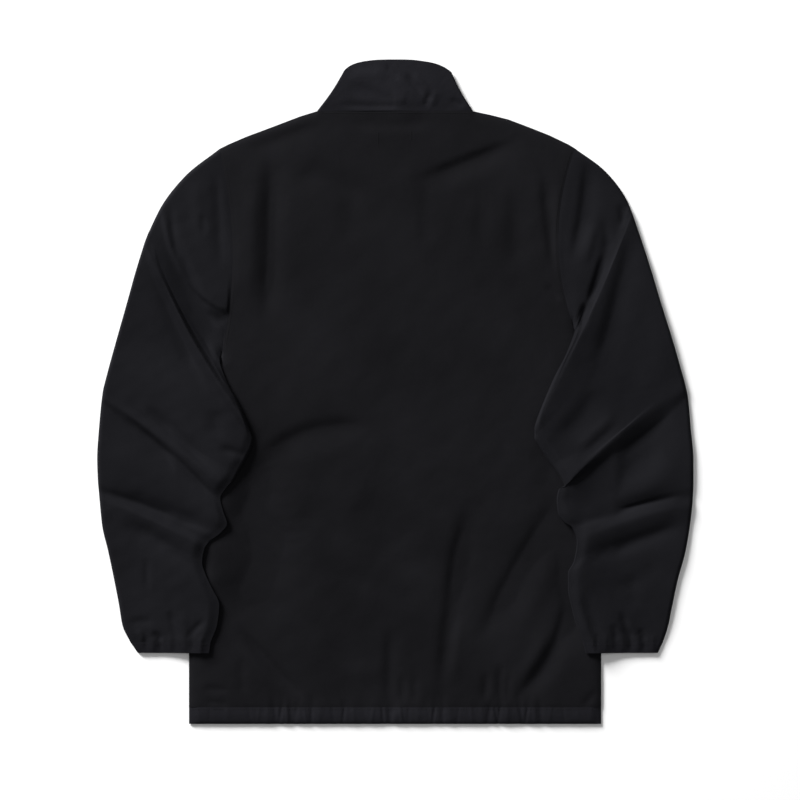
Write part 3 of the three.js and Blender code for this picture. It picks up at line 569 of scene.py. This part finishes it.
GATHERS = [(*line, 3, 3) for line in (
    (-300, -286, -298, -299, -298, -313, -0.9), (-291, -292, -290, -302, -290, -314, 0.8),
    (-283, -284, -281, -299, -281, -314, -1.3), (-270, -288, -269, -302, -269, -314, 0.8),
    (-262, -280, -261, -299, -262, -314, -1.3), (-251, -286, -252, -300, -252, -314, 0.9),
    (-242, -284, -243, -299, -243, -314, -1.1), (-232, -288, -233, -302, -233, -314, 0.7),
    (240, -286, 241, -299, 240, -314, -0.9), (251, -286, 251, -300, 251, -314, 0.8),
    (262, -282, 262, -299, 263, -314, -1.2), (272, -286, 272, -300, 272, -314, 0.8),
    (281, -280, 282, -299, 281, -314, -1.3), (290, -288, 290, -302, 290, -314, 0.8),
    (297, -284, 298, -299, 298, -314, -1.1), (307, -288, 308, -300, 308, -314, 0.7),
)]
# The body's edge under each sleeve: foot of the armhole, underarm, hem.
BODY_EDGE = {
    "left": np.array([(-209.5, 35.0), LEFT_UNDERARM, (HEM_LEFT, HEM_SEAM_Y)]),
    "right": np.array([(214.0, 73.0), RIGHT_UNDERARM, (HEM_RIGHT, HEM_SEAM_Y)]),
}


def steady_curve(known, values, wanted):
    """Curve through the values that never swings past them: cubic pieces with harmonic mean slopes."""
    step = np.diff(known)
    rate = np.diff(values, axis=0) / step[:, None]
    slope = np.zeros_like(values)
    same = rate[:-1] * rate[1:] > 0
    before, after = step[:-1, None], step[1:, None]
    weight_before, weight_after = 2 * after + before, after + 2 * before
    rate_before, rate_after = np.where(same, rate[:-1], 1.0), np.where(same, rate[1:], 1.0)
    mean = (weight_before + weight_after) / (weight_before / rate_before + weight_after / rate_after)
    slope[1:-1] = np.where(same, mean, 0.0)
    slope[0], slope[-1] = rate[0], rate[-1]
    k = np.clip(np.searchsorted(known, wanted, side="right") - 1, 0, len(step) - 1)
    h = step[k][:, None]
    t = ((wanted - known[k]) / step[k])[:, None]
    start, leaving = (1 + 2 * t) * (1 - t) ** 2, t * (1 - t) ** 2
    end, arriving = t * t * (3 - 2 * t), t * t * (t - 1)
    return start * values[k] + leaving * h * slope[k] + end * values[k + 1] + arriving * h * slope[k + 1]


BODY_CLEARANCE, INNER_LEDGE = 3.5, 7.0


def clear_part(rows, edge):
    """Share of each section, from its outer edge, that lies clear of the body, and its width."""
    t = np.linspace(0, 1, 401)
    x, y = section_points(rows[:, None, :], t[None, :])
    near = np.full(x.shape, 1e9)
    for a, b in zip(edge[:-1], edge[1:]):
        run = b - a
        k = np.clip(((x - a[0]) * run[0] + (y - a[1]) * run[1]) / (run @ run), 0, 1)
        near = np.minimum(near, np.hypot(x - a[0] - k * run[0], y - a[1] - k * run[1]))
    reach = np.hypot(rows[:, 0] - rows[:, 2], rows[:, 1] - rows[:, 3])
    hit = near < BODY_CLEARANCE
    first = np.where(hit.any(1), t[hit.argmax(1)], 1.0)
    return np.minimum(first, 1 - INNER_LEDGE / reach), reach


# Points across the upper and the lower layer of a ring.
UPPER_COUNT, LOWER_COUNT = 66, 24
# A section's three heights stand at these shares of its width, and hold outside the last pair.
LOW_SHARE, MIDDLE_SHARE, HIGH_SHARE = 0.15, 0.5, 0.85
HELD_FROM, HELD_TO = 0.12, 0.88
# Roundness of the pressed edges; the inner one is tight at its foot and soft above, below the armhole.
SLEEVE_EDGE_ROUND = 5.0
INNER_TIGHT, INNER_SOFT, INNER_FROM = 1.2, 14.0, 40.0
SLEEVE_SEAM_DIP = 0.18
FOLD_HEIGHT = CLOTH_WALL + 0.5
LAYER_GAP, LAYER_EASE = 0.4, 0.8
CLIMB = 28.0


def sleeve_rings(rows, edge, folds, seed, arm, seam):
    """Rings of a pressed tube: the upper layer from the outer edge in, then the lower layer back.

    arm is each ring's distance from the armhole, and seam its distance from the nearer seam.
    """
    clear, reach = clear_part(rows, edge)
    clear, reach = clear[:, None], reach[:, None]
    ramp = np.minimum(CLIMB / reach, 0.5 * clear)
    lift = rows[:, 9:10]

    def under(t):
        """Height of the lower layer: flat on the surface, then up on to the body."""
        return lift * smooth((t - (clear - ramp)) / ramp)

    even = np.linspace(0, 1, UPPER_COUNT)[1:-1]
    close_at_edges = 0.5 - 0.5 * np.cos(np.linspace(0, math.pi, UPPER_COUNT)[1:-1])
    upper_t = (0.45 * close_at_edges + 0.55 * even)[None, :] + 0 * reach
    lower_t = np.linspace(1, 0, LOWER_COUNT)[1:-1][None, :] + 0 * reach
    x, y = section_points(rows[:, None, :], upper_t)
    s = np.clip(upper_t, HELD_FROM, HELD_TO)
    high = rows[:, None, 6:9]
    a, b, c = LOW_SHARE, MIDDLE_SHARE, HIGH_SHARE
    body = (high[..., 0] * (s - b) * (s - c) / ((a - b) * (a - c))
            + high[..., 1] * (s - a) * (s - c) / ((b - a) * (b - c))
            + high[..., 2] * (s - a) * (s - b) / ((c - a) * (c - b)))
    waves = slow_waves(x, y, seed, 90, 0.7), slow_waves(x, y, seed + 1, 30, 0.25)
    relief = fold_relief(x, y, folds) + waves[0] + waves[1]
    dip = SLEEVE_SEAM_DIP * np.exp(-(seam[:, None] / SEAM_HALF_WIDTH) ** 2)
    body = body + relief * smooth(arm[:, None] / ARMHOLE_FADE) - dip
    inset = (1 - upper_t) * reach
    crisp = quarter(inset / SLEEVE_EDGE_ROUND)
    soft = 0.55 * quarter(inset / INNER_TIGHT) + 0.45 * smooth(inset / INNER_SOFT)
    inner_rim = crisp + (soft - crisp) * smooth(arm[:, None] / INNER_FROM)
    rim = np.minimum(quarter(upper_t * reach / SLEEVE_EDGE_ROUND), inner_rim)
    base = FOLD_HEIGHT + lift * upper_t
    least = under(upper_t) + 2 * CLOTH_WALL + LAYER_GAP
    z = soft_max(least, base + (body - base) * rim, LAYER_EASE)
    upper = np.stack([x, y, z], -1)
    lx, ly = section_points(rows[:, None, :], lower_t)
    lower = np.stack([lx, ly, under(lower_t)], -1)

    def fold_line(t, inset):
        """Line along the pressed edge at share t of each section, moved in by inset."""
        px, py = section_points(rows[:, None, :], np.full_like(reach, t) + inset / reach)
        return np.stack([px, py, FOLD_HEIGHT + lift * t], -1)

    outer = np.concatenate([fold_line(0.0, 0), upper, fold_line(1.0, 0), lower], 1)
    inner = np.concatenate([fold_line(0.0, CLOTH_WALL), upper - (0, 0, CLOTH_WALL),
                            fold_line(1.0, -CLOTH_WALL), lower + (0, 0, CLOTH_WALL)], 1)
    return outer, inner


def ring_cloth(outer):
    """Thread directions on a tube: the distance round each ring and the distance along the tube."""
    around = np.linalg.norm(np.diff(outer, axis=1), axis=2).cumsum(1)
    around = np.concatenate([np.zeros((len(outer), 1)), around], 1)
    middle = outer.mean(1)
    along = np.concatenate([[0], np.linalg.norm(np.diff(middle, axis=0), axis=1).cumsum()])
    return np.stack([around, along[:, None] + 0 * around], -1)


# Added height of the bunched cloth, in the middle and along the inner edge, from 60 mm down the arm.
BUNCHED, BUNCHED_FROM = np.array((0.5, 1.7)), 60.0
SLEEVE_RINGS = 262
SLEEVES = (("left", LEFT_SLEEVE, 21), ("right", RIGHT_SLEEVE, 35))


def make_sleeve(side, table, seed):
    """Fine sections between those of the table, along a steady curve, joined to one tube."""
    middle = (table[:, 0:2] + table[:, 2:4]) / 2 + table[:, 4:6]
    known = np.concatenate([[0], np.linalg.norm(np.diff(middle, axis=0), axis=1).cumsum()])
    at = np.linspace(0, known[-1], SLEEVE_RINGS)
    rows = steady_curve(known, table, at)
    rows[:, 7:9] += BUNCHED * smooth(at[:, None] / BUNCHED_FROM)
    seam = np.minimum(at, known[-1] - at)
    outer, inner = sleeve_rings(rows, BODY_EDGE[side], SLEEVE_FOLDS[side] + GATHERS, seed, at, seam)
    return wall_mesh(f"sleeve_{side}_panel", outer, inner, True, ring_cloth(outer))


# The same cloth, its colour painted a little paler and bluer: a painted highlight for the light that the
# sleeves catch.
sleeve_cloth_painted_light = cloth_material(
    "sleeve_cloth_painted_light", dark=(0.0062, 0.0062, 0.0076), light=(0.0088, 0.0088, 0.0106),
    roughness=0.72, sheen=0.009, pucker=0.35)
for side, table, seed in SLEEVES:
    piece = make_sleeve(side, table, seed)
    finish_piece(piece, sleeve_cloth_painted_light, "shell_cloth", "garment", f"sleeve_{side}")

# Cuffs: the sleeve's end turned into a narrow casing round elastic, which gathers it.
# Each is a folded strip of the shell cloth, stitched along its upper edge.
# The cuffs' colour is painted a little bluer than the back's: a painted tint for the cool light along the
# garment's edges.
cuff_cloth_painted_tint = cloth_material(
    "cuff_cloth_painted_tint", dark=(0.0056, 0.0055, 0.0069), light=(0.0077, 0.0076, 0.0095),
    roughness=0.74, sheen=0.009, pucker=0.6)
# The cuff's end: outer edge x, y; inner edge x, y.
CUFF_ENDS = {"left": (-308.5, -312, -222, -312), "right": (314, -312, 227, -312)}
CUFF_LENGTH = 13.0


def make_cuff(side, table, seed):
    """Last ring of the sleeve carried down to the cuff's end, with short gathers across it."""
    first = table[-1].copy()
    first[7:9] += BUNCHED
    last = first.copy()
    last[:4] = CUFF_ENDS[side]
    share = np.linspace(0.005, 1, 16)
    rows = first + (last - first) * share[:, None]
    arm = np.full(len(share), CLEAR)
    outer, inner = sleeve_rings(rows, BODY_EDGE[side], GATHERS, seed, arm, share * CUFF_LENGTH)
    return wall_mesh(f"cuff_{side}_casing", outer, inner, True, ring_cloth(outer))


for side, table, seed in SLEEVES:
    piece = make_cuff(side, table, seed)
    finish_piece(piece, cuff_cloth_painted_tint, "elastic_casing", "garment", f"cuff_{side}")

# Fronts: two flat panels of shell cloth on the surface, one each side of the zip.
# They are sewn to the back at shoulders and sides, and to the zip's tapes down the middle.
ZIP_HALF = 5.0
FRONT_NECK = [(-89, 329), (-76, 316), (-52, 301), (-25, 292), (-5, 290.5)]
FRONT_HEIGHT = 0.8
SHOULDER_INSET, NECK_INSET = 0.4, 0.6
UNDERARM_FILL, FILL_REACH = 3.5, 12.0


def make_front(side, sign):
    """Flat panel from its side to the zip, its first row along the shoulder and the neckline."""
    if sign < 0:
        shoulder = SHOULDERS[SHOULDERS[:, 0] <= NECK_LEFT]
    else:
        shoulder = SHOULDERS[SHOULDERS[:, 0] >= NECK_RIGHT][::-1]
    neck = np.array(FRONT_NECK) * (-sign, 1) - (0, NECK_INSET)
    upper = np.concatenate([shoulder - (0, SHOULDER_INSET), neck])
    columns = (upper[:, 0] - upper[0, 0]) / (sign * ZIP_HALF - upper[0, 0])
    fine = np.unique(np.concatenate([columns, np.linspace(0, 1, 60)]))
    edge = np.interp(fine, columns, upper[:, 1])
    outside = (left_side if sign < 0 else right_side).copy()
    foot = BODY_EDGE[side][0]
    outside[:, 0] += sign * UNDERARM_FILL * np.exp(-(np.hypot(*(outside - foot).T) / FILL_REACH) ** 2)
    share = (outside[:, 1] - HEM_SEAM_Y) / (outside[0, 1] - HEM_SEAM_Y)
    down_zip = HEM_SEAM_Y + share * (upper[-1, 1] - HEM_SEAM_Y)
    middle = np.stack([np.full(len(outside), sign * ZIP_HALF), down_zip], -1)
    x, y = panel_plan(outside, middle, fine, edge)
    flat = np.stack([x, y, np.zeros_like(x)], -1)
    top = flat + np.stack([0 * x, 0 * x, FRONT_HEIGHT + 0.35 * slow_waves(x, y, 61, 80, 1.0)], -1)
    return wall_mesh(f"front_{side}_panel", top, flat, False, np.stack([x, y], -1))


for side, sign in (("left", -1), ("right", 1)):
    piece = make_front(side, sign)
    finish_piece(piece, shell_cloth, "shell_cloth", "garment", f"front_{side}")

# Collar: a stand collar of two layers of shell cloth, sewn round the neckline in one band.
# Its back half lies over its front halves, with a few soft slanting creases.
# A section runs up the band, in mm: seam x, y; upper edge x, y; 0 on the front, 1 on the back.
COLLAR_SECTIONS = np.array([
    (-5, 290.5, -5, 351, 0), (-25, 292, -20, 353, 0), (-52, 301, -42, 361, 0), (-76, 316, -55, 373, 0),
    (-89, 329, -60, 380, 0), (-93.5, 336.5, -62, 383, 0.5), (-89, 336.1, -57, 388.2, 1),
    (-75, 336.1, -49, 392.4, 1), (-56, 336.1, -37, 395.4, 1), (-37, 336.1, -20, 397.2, 1),
    (-19, 336.1, -6, 397.5, 1), (0, 336.1, 6, 397.5, 1), (19, 336.1, 18, 397.2, 1),
    (37, 336.1, 31, 395.8, 1), (56, 336.1, 44, 393.6, 1), (75, 336.1, 54, 390.4, 1),
    (88, 336.1, 62, 386, 1), (92.5, 336.5, 67.5, 381, 0.5), (88, 329, 65.5, 376, 0),
    (75, 316, 57, 369, 0), (52, 301, 42, 360, 0), (25, 292, 20, 353, 0), (5, 290.5, 5, 351, 0),
])
COLLAR_FOLDS = [
    (10, 382, 22, 366, 36, 352, -1.5, 5, 4),
    (20, 384, 32, 368, 44, 354, 1.2, 4, 5),
    (41, 358, 38, 348, 35, 340, -1.3, 4, 4),
    (49, 362, 46, 350, 43, 341, 0.9, 4, 4),
    (-62, 366, -30, 360, 10, 342, -1.5, 7, 9),
    (-60, 380, -30, 376, -6, 384, 0.9, 8, 8),
    (-14, 392, -4, 382, 6, 372, -1.1, 4, 4),
    (-78, 343, -30, 341, 20, 340, -1.1, 5, 4),
    (64, 350, 74, 345, 84, 342, -1.0, 4, 4),
    (-4, 350, 4, 352, 14, 348, 0.7, 7, 7),
]
COLLAR_WALL = 0.9
COLLAR_TOP = 4.6
COLLAR_HOLLOW = -1.8
# The band's own cloth and the hem's are folded double; their colour is painted paler and bluer, a painted
# highlight for the light at the garment's edges.
casing_cloth_painted_light = cloth_material(
    "casing_cloth_painted_light", dark=(0.0082, 0.0081, 0.0101), light=(0.0112, 0.0111, 0.0137),
    roughness=0.74, sheen=0.009, pucker=0.6)
SLIDER_LIFT, LIFT_FROM_Y, LIFT_RUN = 2.9, 298.0, 36.0
LIFT_HALF, LIFT_SIDE = 12.0, 34.0


def zip_lift(x, y):
    """Lift of the lower layer beside the slider, fading down the zip and to the sides."""
    beside = 1 - smooth((np.abs(x) - LIFT_HALF) / LIFT_SIDE)
    return SLIDER_LIFT * smooth((y - LIFT_FROM_Y) / LIFT_RUN) * beside


def make_collar():
    """Band round the neck: flat front halves, a rolled edge at each side, and the back half above."""
    known = np.arange(len(COLLAR_SECTIONS), dtype=float)
    wanted = np.linspace(0, known[-1], 12 * (len(known) - 1) + 1)
    rows = steady_curve(known, COLLAR_SECTIONS.astype(float), wanted)
    t = np.linspace(0, 1, 30)
    hollow = COLLAR_HOLLOW * smooth(np.abs(rows[:, 0:1]) / 80) * np.sign(rows[:, 0:1])
    x = rows[:, 0:1] + (rows[:, 2:3] - rows[:, 0:1]) * t + hollow * np.sin(t * math.pi)
    y = rows[:, 1:2] + (rows[:, 3:4] - rows[:, 1:2]) * t
    level = rows[:, 4:5] + 0 * x
    relief = fold_relief(x, y, COLLAR_FOLDS) + slow_waves(x, y, 71, 40, 0.5)
    above = COLLAR_TOP + 0.6 * smooth(t / 0.2) + 0.8 * np.sin(t * math.pi) + relief * smooth(t / 0.1)
    above = above + zip_rise(x, y)
    low = zip_lift(x, y) * (1 - smooth(level * 2))
    z = low + (above - low) * smooth(level)
    turn = np.where(np.arange(len(rows)) <= len(rows) / 2, 1.0, -1.0)[:, None]
    inward = np.sin(level * math.pi) * COLLAR_WALL * turn
    down = np.cos(level * math.pi) * COLLAR_WALL
    outer = np.stack([x, y, z], -1)
    inner = np.stack([x + inward, y, z + down], -1)
    around = np.cumsum(np.r_[0, np.hypot(*np.diff(rows[:, :2], axis=0).T)])
    cloth = np.stack([around[:, None] + 0 * x, 60 * t + 0 * x], -1)
    return wall_mesh("collar_band", outer, inner, False, cloth)


collar_band = make_collar()
finish_piece(collar_band, casing_cloth_painted_light, "shell_cloth", "garment", "collar")

# Hem: the body's lower edge turned into one casing round elastic, from zip edge to zip edge.
# The relaxed elastic gathers it in short uneven puckers across the back.
HEM_Y = -397.0
HEM_TURN = 4.0
HEM_WALL = 0.9
HEM_SIDE_TOP, HEM_SIDE_EASE = 3.0, 14.0
# Points along each front half and across the back.
HEM_FRONT_COUNT, HEM_BACK_COUNT = 40, 360


def make_hem():
    """Casing along a path from the zip round one side, across the back and round the other side."""
    turn = np.linspace(0, math.pi, 9)[1:-1]
    x = np.concatenate([
        np.linspace(-ZIP_HALF, HEM_LEFT + 2 * HEM_TURN, HEM_FRONT_COUNT),
        HEM_LEFT + HEM_TURN - HEM_TURN * np.sin(turn),
        np.linspace(HEM_LEFT + HEM_TURN, HEM_RIGHT - HEM_TURN, HEM_BACK_COUNT),
        HEM_RIGHT - HEM_TURN + HEM_TURN * np.sin(turn),
        np.linspace(HEM_RIGHT - 2 * HEM_TURN, ZIP_HALF, HEM_FRONT_COUNT),
    ])
    front = np.zeros(HEM_FRONT_COUNT)
    level = np.concatenate([front, turn / math.pi, np.ones(HEM_BACK_COUNT), turn[::-1] / math.pi, front])
    t = np.linspace(0, 1, 16)
    y = HEM_SEAM_Y - SEAM_GAP + (HEM_Y - HEM_SEAM_Y + SEAM_GAP) * t[None, :] + 0 * x[:, None]
    flat_x = x[:, None] + 0 * y
    plump = 0.7 * np.sin(t * math.pi) - 1.6 * t ** 14
    at_seam = np.full_like(y, HEM_SEAM_Y)
    puckers = hem_puckers(flat_x, y) * (0.7 + 0.3 * smooth(3 * t)) * (1 - 0.5 * t)
    carried_down = back_relief(flat_x, at_seam) * (1 - smooth(t)) + zip_rise(flat_x, at_seam)
    above = BACK_TOP - SEAM_DIP + plump + puckers + carried_down
    edge = smooth(np.minimum(flat_x - HEM_LEFT, HEM_RIGHT - flat_x) / HEM_SIDE_EASE)
    level = level[:, None] + 0 * y
    z = smooth(level) * (HEM_SIDE_TOP + (above - HEM_SIDE_TOP) * edge)
    inward = np.where(flat_x < 0, 1.0, -1.0) * HEM_WALL * np.sin(level * math.pi)
    outer = np.stack([flat_x, y, z], -1)
    inner = np.stack([flat_x + inward, y, z + HEM_WALL * np.cos(level * math.pi)], -1)
    path = np.cumsum(np.r_[0, np.hypot(np.diff(x), np.diff(z[:, 0]))])
    return wall_mesh("hem_casing", outer, inner, False, np.stack([path[:, None] + 0 * y, y], -1))


hem_casing = make_hem()
finish_piece(hem_casing, casing_cloth_painted_light, "elastic_casing", "garment", "hem_band")

# Stitching: black polyester thread, 3.2 mm a stitch, along the armholes, neck, cuffs and hem.
# Two short bar tacks of thicker thread stand below the collar.
thread_material = cloth_material(
    "sewing_thread", dark=(0.010, 0.010, 0.011), light=(0.014, 0.014, 0.015),
    roughness=0.5, sheen=0.0, pucker=0.2)
# A plain stitch and the gap after it, and the same for a bar tack; then the two threads, in mm.
STITCH, STITCH_GAP = 2.4, 0.8
TACK, TACK_GAP = 1.2, 0.7
FINE_THREAD, THICK_THREAD = 0.4, 0.7


def surface_height(piece, x, y):
    """Height above the floor of the point of a finished piece that is nearest in plan."""
    shape = piece.data
    points = np.empty(len(shape.vertices) * 3)
    shape.vertices.foreach_get("co", points)
    points = points.reshape(-1, 3)[: len(shape.vertices) // 2]
    away_x, away_y = points[:, 0][None] - x[:, None], points[:, 1][None] - y[:, None]
    near = np.argmin(away_x ** 2 + away_y ** 2, axis=1)
    return points[near, 2]


ROD_SIDES = 6


def rod_mesh(name, points, turned):
    """Closed six-sided rods, by rod, ring and corner; turned where the rings run the other way."""
    count, rings = points.shape[:2]
    base = np.arange(count)[:, None, None] * rings * ROD_SIDES
    i, j = np.meshgrid(np.arange(rings - 1), np.arange(ROD_SIDES), indexing="ij")
    this, after = i * ROD_SIDES, (i + 1) * ROD_SIDES
    n = (j + 1) % ROD_SIDES
    quads = np.stack([this + j, after + j, after + n, this + n], -1)
    corners = np.arange(ROD_SIDES)
    ends = np.stack([corners, (rings - 1) * ROD_SIDES + corners[::-1]])
    if turned:
        quads = np.roll(quads[..., ::-1], 1, -1)
        ends = ends[:, ::-1]
    quads = (quads[None] + base[..., None]).reshape(-1, 4)
    ends = (ends[None] + base).reshape(-1, ROD_SIDES)
    mesh = bpy.data.meshes.new(name)
    mesh.from_pydata(points.reshape(-1, 3).tolist(), [], quads.tolist() + ends.tolist())
    mesh.polygons.foreach_set("use_smooth", np.ones(len(mesh.polygons), dtype=bool))
    mesh.update()
    return mesh


def stitches(name, path, piece, length, gap, thick):
    """Row of thread ends: each stitch an arched, six-sided stub laid along the path on the cloth."""
    path = np.asarray(path, float) * MM
    run = np.concatenate([[0], np.linalg.norm(np.diff(path, axis=0), axis=1).cumsum()])
    count = int(run[-1] / ((length + gap) * MM))
    starts = (np.arange(count) + 0.5) * run[-1] / count
    u = np.linspace(-0.5, 0.5, 5)
    at = starts[:, None] + u * length * MM
    x, y = np.interp(at, run, path[:, 0]), np.interp(at, run, path[:, 1])
    ahead = 0.5 * MM
    dx = np.interp(at + ahead, run, path[:, 0]) - np.interp(at - ahead, run, path[:, 0])
    dy = np.interp(at + ahead, run, path[:, 1]) - np.interp(at - ahead, run, path[:, 1])
    size = np.hypot(dx, dy) + 1e-9
    height = surface_height(piece, x.ravel(), y.ravel()).reshape(x.shape)
    z = height + (0.05 + 0.12 * np.cos(u * math.pi)) * MM
    round_angle = np.linspace(0, math.tau, ROD_SIDES + 1)[:-1]
    radius = thick / 2 * MM * np.sqrt(np.clip(1 - (2 * np.abs(u)) ** 4, 0.05, 1))
    across = radius[None, :, None] * np.cos(round_angle)
    up = radius[None, :, None] * np.sin(round_angle)
    points = np.stack([
        x[..., None] - dy[..., None] / size[..., None] * across,
        y[..., None] + dx[..., None] / size[..., None] * across,
        z[..., None] + up,
    ], -1)
    mesh = rod_mesh(name, points, False)
    mesh.uv_layers.new(name="UVMap")
    finish_piece(place_mesh(name, mesh), thread_material, "shell_cloth", "garment")


arm_t = np.linspace(0.02, 0.97, 90)
left_arm = np.stack(section_points(LEFT_SLEEVE[0], arm_t), -1) + (3.0, 0)
right_arm = np.stack(section_points(RIGHT_SLEEVE[0], arm_t), -1) - (3.0, 0)
cuff_left = bpy.data.objects["cuff_left_casing"]
cuff_right = bpy.data.objects["cuff_right_casing"]
HEM_STITCH_Y, CUFF_STITCH_Y = -379.4, -301.6
for name, path, piece in (
    ("armhole_left", left_arm, back_panel),
    ("armhole_right", right_arm, back_panel),
    ("neck", [(-90, 333.4), (0, 333.2), (89, 333.4)], back_panel),
    ("hem", [(HEM_LEFT + 3, HEM_STITCH_Y), (HEM_RIGHT - 3, HEM_STITCH_Y)], hem_casing),
    ("cuff_left", [(-312, CUFF_STITCH_Y), (-225, CUFF_STITCH_Y)], cuff_left),
    ("cuff_right", [(228, CUFF_STITCH_Y), (315, CUFF_STITCH_Y)], cuff_right),
):
    stitches(f"stitching_{name}", path, piece, STITCH, STITCH_GAP, FINE_THREAD)
for name, path in (("left", [(-21, 311), (-20.5, 293)]), ("right", [(18.6, 312), (18.8, 301)])):
    stitches(f"bar_tack_{name}", path, back_panel, TACK, TACK_GAP, THICK_THREAD)

# Front zip: woven tapes each side of a closed row of nylon teeth, on the side that lies down.
# The teeth run from the hem to the slider at the collar's upper edge.
tape_cloth = cloth_material(
    "zip_tape_cloth", dark=(0.0050, 0.0050, 0.0056), light=(0.0075, 0.0075, 0.0082),
    roughness=0.75, sheen=0.0, pucker=0.1)
COLLAR_FRONT_TOP_Y = 351.0
TAPE_FROM, TAPE_TO = 2.6, 13.0
TAPE_TOP, TAPE_WALL = 2.1, 0.6


def make_tape(side, sign):
    """Flat strip beside the teeth, following the lift near the slider."""
    y = np.concatenate([np.linspace(HEM_Y, 296, 120), np.linspace(298, COLLAR_FRONT_TOP_Y, 40)])[:, None]
    x = sign * np.linspace(TAPE_FROM, TAPE_TO, 8)[None, :]
    x, y = x + 0 * y, y + 0 * x
    top = np.stack([x, y, TAPE_TOP + zip_lift(x, y)], -1)
    return wall_mesh(f"zip_tape_{side}_strip", top, top - (0, 0, TAPE_WALL), False, np.stack([x, y], -1))


for side, sign in (("left", -1), ("right", 1)):
    piece = make_tape(side, sign)
    finish_piece(piece, tape_cloth, "zip_tape", "garment", f"zip_tape_{side}")


def satin_material(name, color, roughness, metallic, scale):
    """Smooth hard finish with a faint uneven roughness."""
    material = bpy.data.materials.new(name)
    material.use_nodes = True
    nodes, links = material.node_tree.nodes, material.node_tree.links
    shader = nodes["Principled BSDF"]
    shader.inputs["Base Color"].default_value = (*color, 1)
    shader.inputs["Metallic"].default_value = metallic
    noise = add_noise(material.node_tree, scale)
    spread = nodes.new("ShaderNodeMapRange")
    spread.inputs["To Min"].default_value = roughness - 0.08
    spread.inputs["To Max"].default_value = roughness + 0.1
    links.new(noise, spread.inputs["Value"])
    links.new(spread.outputs["Result"], shader.inputs["Roughness"])
    links.new(add_bump(material.node_tree, noise, strength=0.1, distance=0.0001), shader.inputs["Normal"])
    return material


nylon = satin_material("zip_nylon", (0.010, 0.010, 0.011), roughness=0.42, metallic=0.0, scale=900)
TOOTH_PITCH, TOOTH_HALF, TOOTH_RADIUS = 1.5, 2.3, 0.62
TOOTH_HEIGHT = 1.35


def make_teeth():
    """Interlocked coil: short round bars side by side across the middle line, each leaning in an S."""
    y = np.arange(HEM_Y + 1, SLIDER_Y + 3, TOOTH_PITCH)
    u = np.linspace(-1, 1, 7)
    angle = np.linspace(0, math.tau, ROD_SIDES + 1)[:-1]
    swell = TOOTH_RADIUS * np.sqrt(1 - 0.55 * u ** 6)
    x = TOOTH_HALF * u[None, :, None] + 0 * y[:, None, None] + 0 * angle
    lean = 0.35 * np.sin(u * math.pi)[None, :, None]
    cy = y[:, None, None] + lean + 0.9 * swell[None, :, None] * np.cos(angle)
    z = TOOTH_HEIGHT + zip_lift(x, cy) + swell[None, :, None] * np.sin(angle)
    mesh = rod_mesh("zip_teeth_row", np.stack([x, cy + 0 * x, z], -1) * MM, True)
    finish_piece(place_mesh("zip_teeth_row", mesh), nylon, "zip_teeth", "garment", "zip_coil")


make_teeth()

# Slider and pull tab: die-cast metal in dark enamel, each a copy of its own solid.
# The tab hangs on the slider's bridge and swings on it, so it rides on its own body.
enamel = satin_material("zip_enamel", (0.018, 0.018, 0.020), roughness=0.35, metallic=0.6, scale=500)
MERGE_WITHIN, METAL_ROUND = 0.02, 0.18


def softened_copy(node, name, body):
    """Copy of a node's own solid with its points merged and its edges rounded."""
    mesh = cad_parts[node].data.copy()
    mesh.name = name
    piece = place_mesh(name, mesh)
    weld = piece.modifiers.new("weld", "WELD")
    weld.merge_threshold = MERGE_WITHIN * MM
    bevel = piece.modifiers.new("bevel", "BEVEL")
    bevel.width = METAL_ROUND * MM
    bevel.segments = 3
    bevel.limit_method = "ANGLE"
    finish_piece(piece, enamel, "zip_metal", body, node)


softened_copy("zip_slider", "zip_slider_body", "garment")
softened_copy("zip_pull", "zip_pull_tab", "pull_tab")

# Studio: a plain white surface, a large soft key from the upper left and a pale room.
# The camera looks straight down, as the photograph does.
bpy.ops.mesh.primitive_plane_add(size=6, location=(0, 0, 0))
ground = bpy.context.object
ground.name = "ground"
ground_material = bpy.data.materials.new("white_surface")
ground_material.use_nodes = True
ground_shader = ground_material.node_tree.nodes["Principled BSDF"]
ground_shader.inputs["Base Color"].default_value = (0.9, 0.9, 0.9, 1)
ground_shader.inputs["Roughness"].default_value = 0.9
ground_shader.inputs["Specular IOR Level"].default_value = 0.1
ground.data.materials.append(ground_material)

scene = bpy.context.scene
world = bpy.data.worlds.new("room")
scene.world = world
world.use_nodes = True
world.node_tree.nodes["Background"].inputs["Color"].default_value = (1, 1, 1, 1)
world.node_tree.nodes["Background"].inputs["Strength"].default_value = 0.18


def add_light(name, place, size, power):
    """Square soft light at a place, turned to the origin."""
    data = bpy.data.lights.new(name, "AREA")
    data.shape = "SQUARE"
    data.size = size
    data.energy = power
    light = bpy.data.objects.new(name, data)
    light.location = place
    x, y, z = place
    light.rotation_euler = (math.atan2(math.hypot(x, y), z), 0, math.atan2(y, x) + math.pi / 2)
    scene.collection.objects.link(light)


add_light("key", place=(-5.6, 6.3, 3.6), size=3.4, power=2080)
add_light("top", place=(-0.3, 0.5, 5.2), size=2.2, power=45)

# The frame's width on the surface, and the camera's height over it, in metres.
FRAME_WIDTH = 0.9575
CAMERA_HEIGHT = 4.0
VIEW_CENTRE = (0.0054, -0.0096)
SENSOR_WIDTH = 36
camera_data = bpy.data.cameras.new("camera")
camera_data.sensor_width = SENSOR_WIDTH
camera_data.lens = SENSOR_WIDTH * CAMERA_HEIGHT / FRAME_WIDTH
camera = bpy.data.objects.new("camera", camera_data)
camera.location = (*VIEW_CENTRE, CAMERA_HEIGHT)
scene.collection.objects.link(camera)
scene.camera = camera
scene.view_settings.view_transform = "Standard"
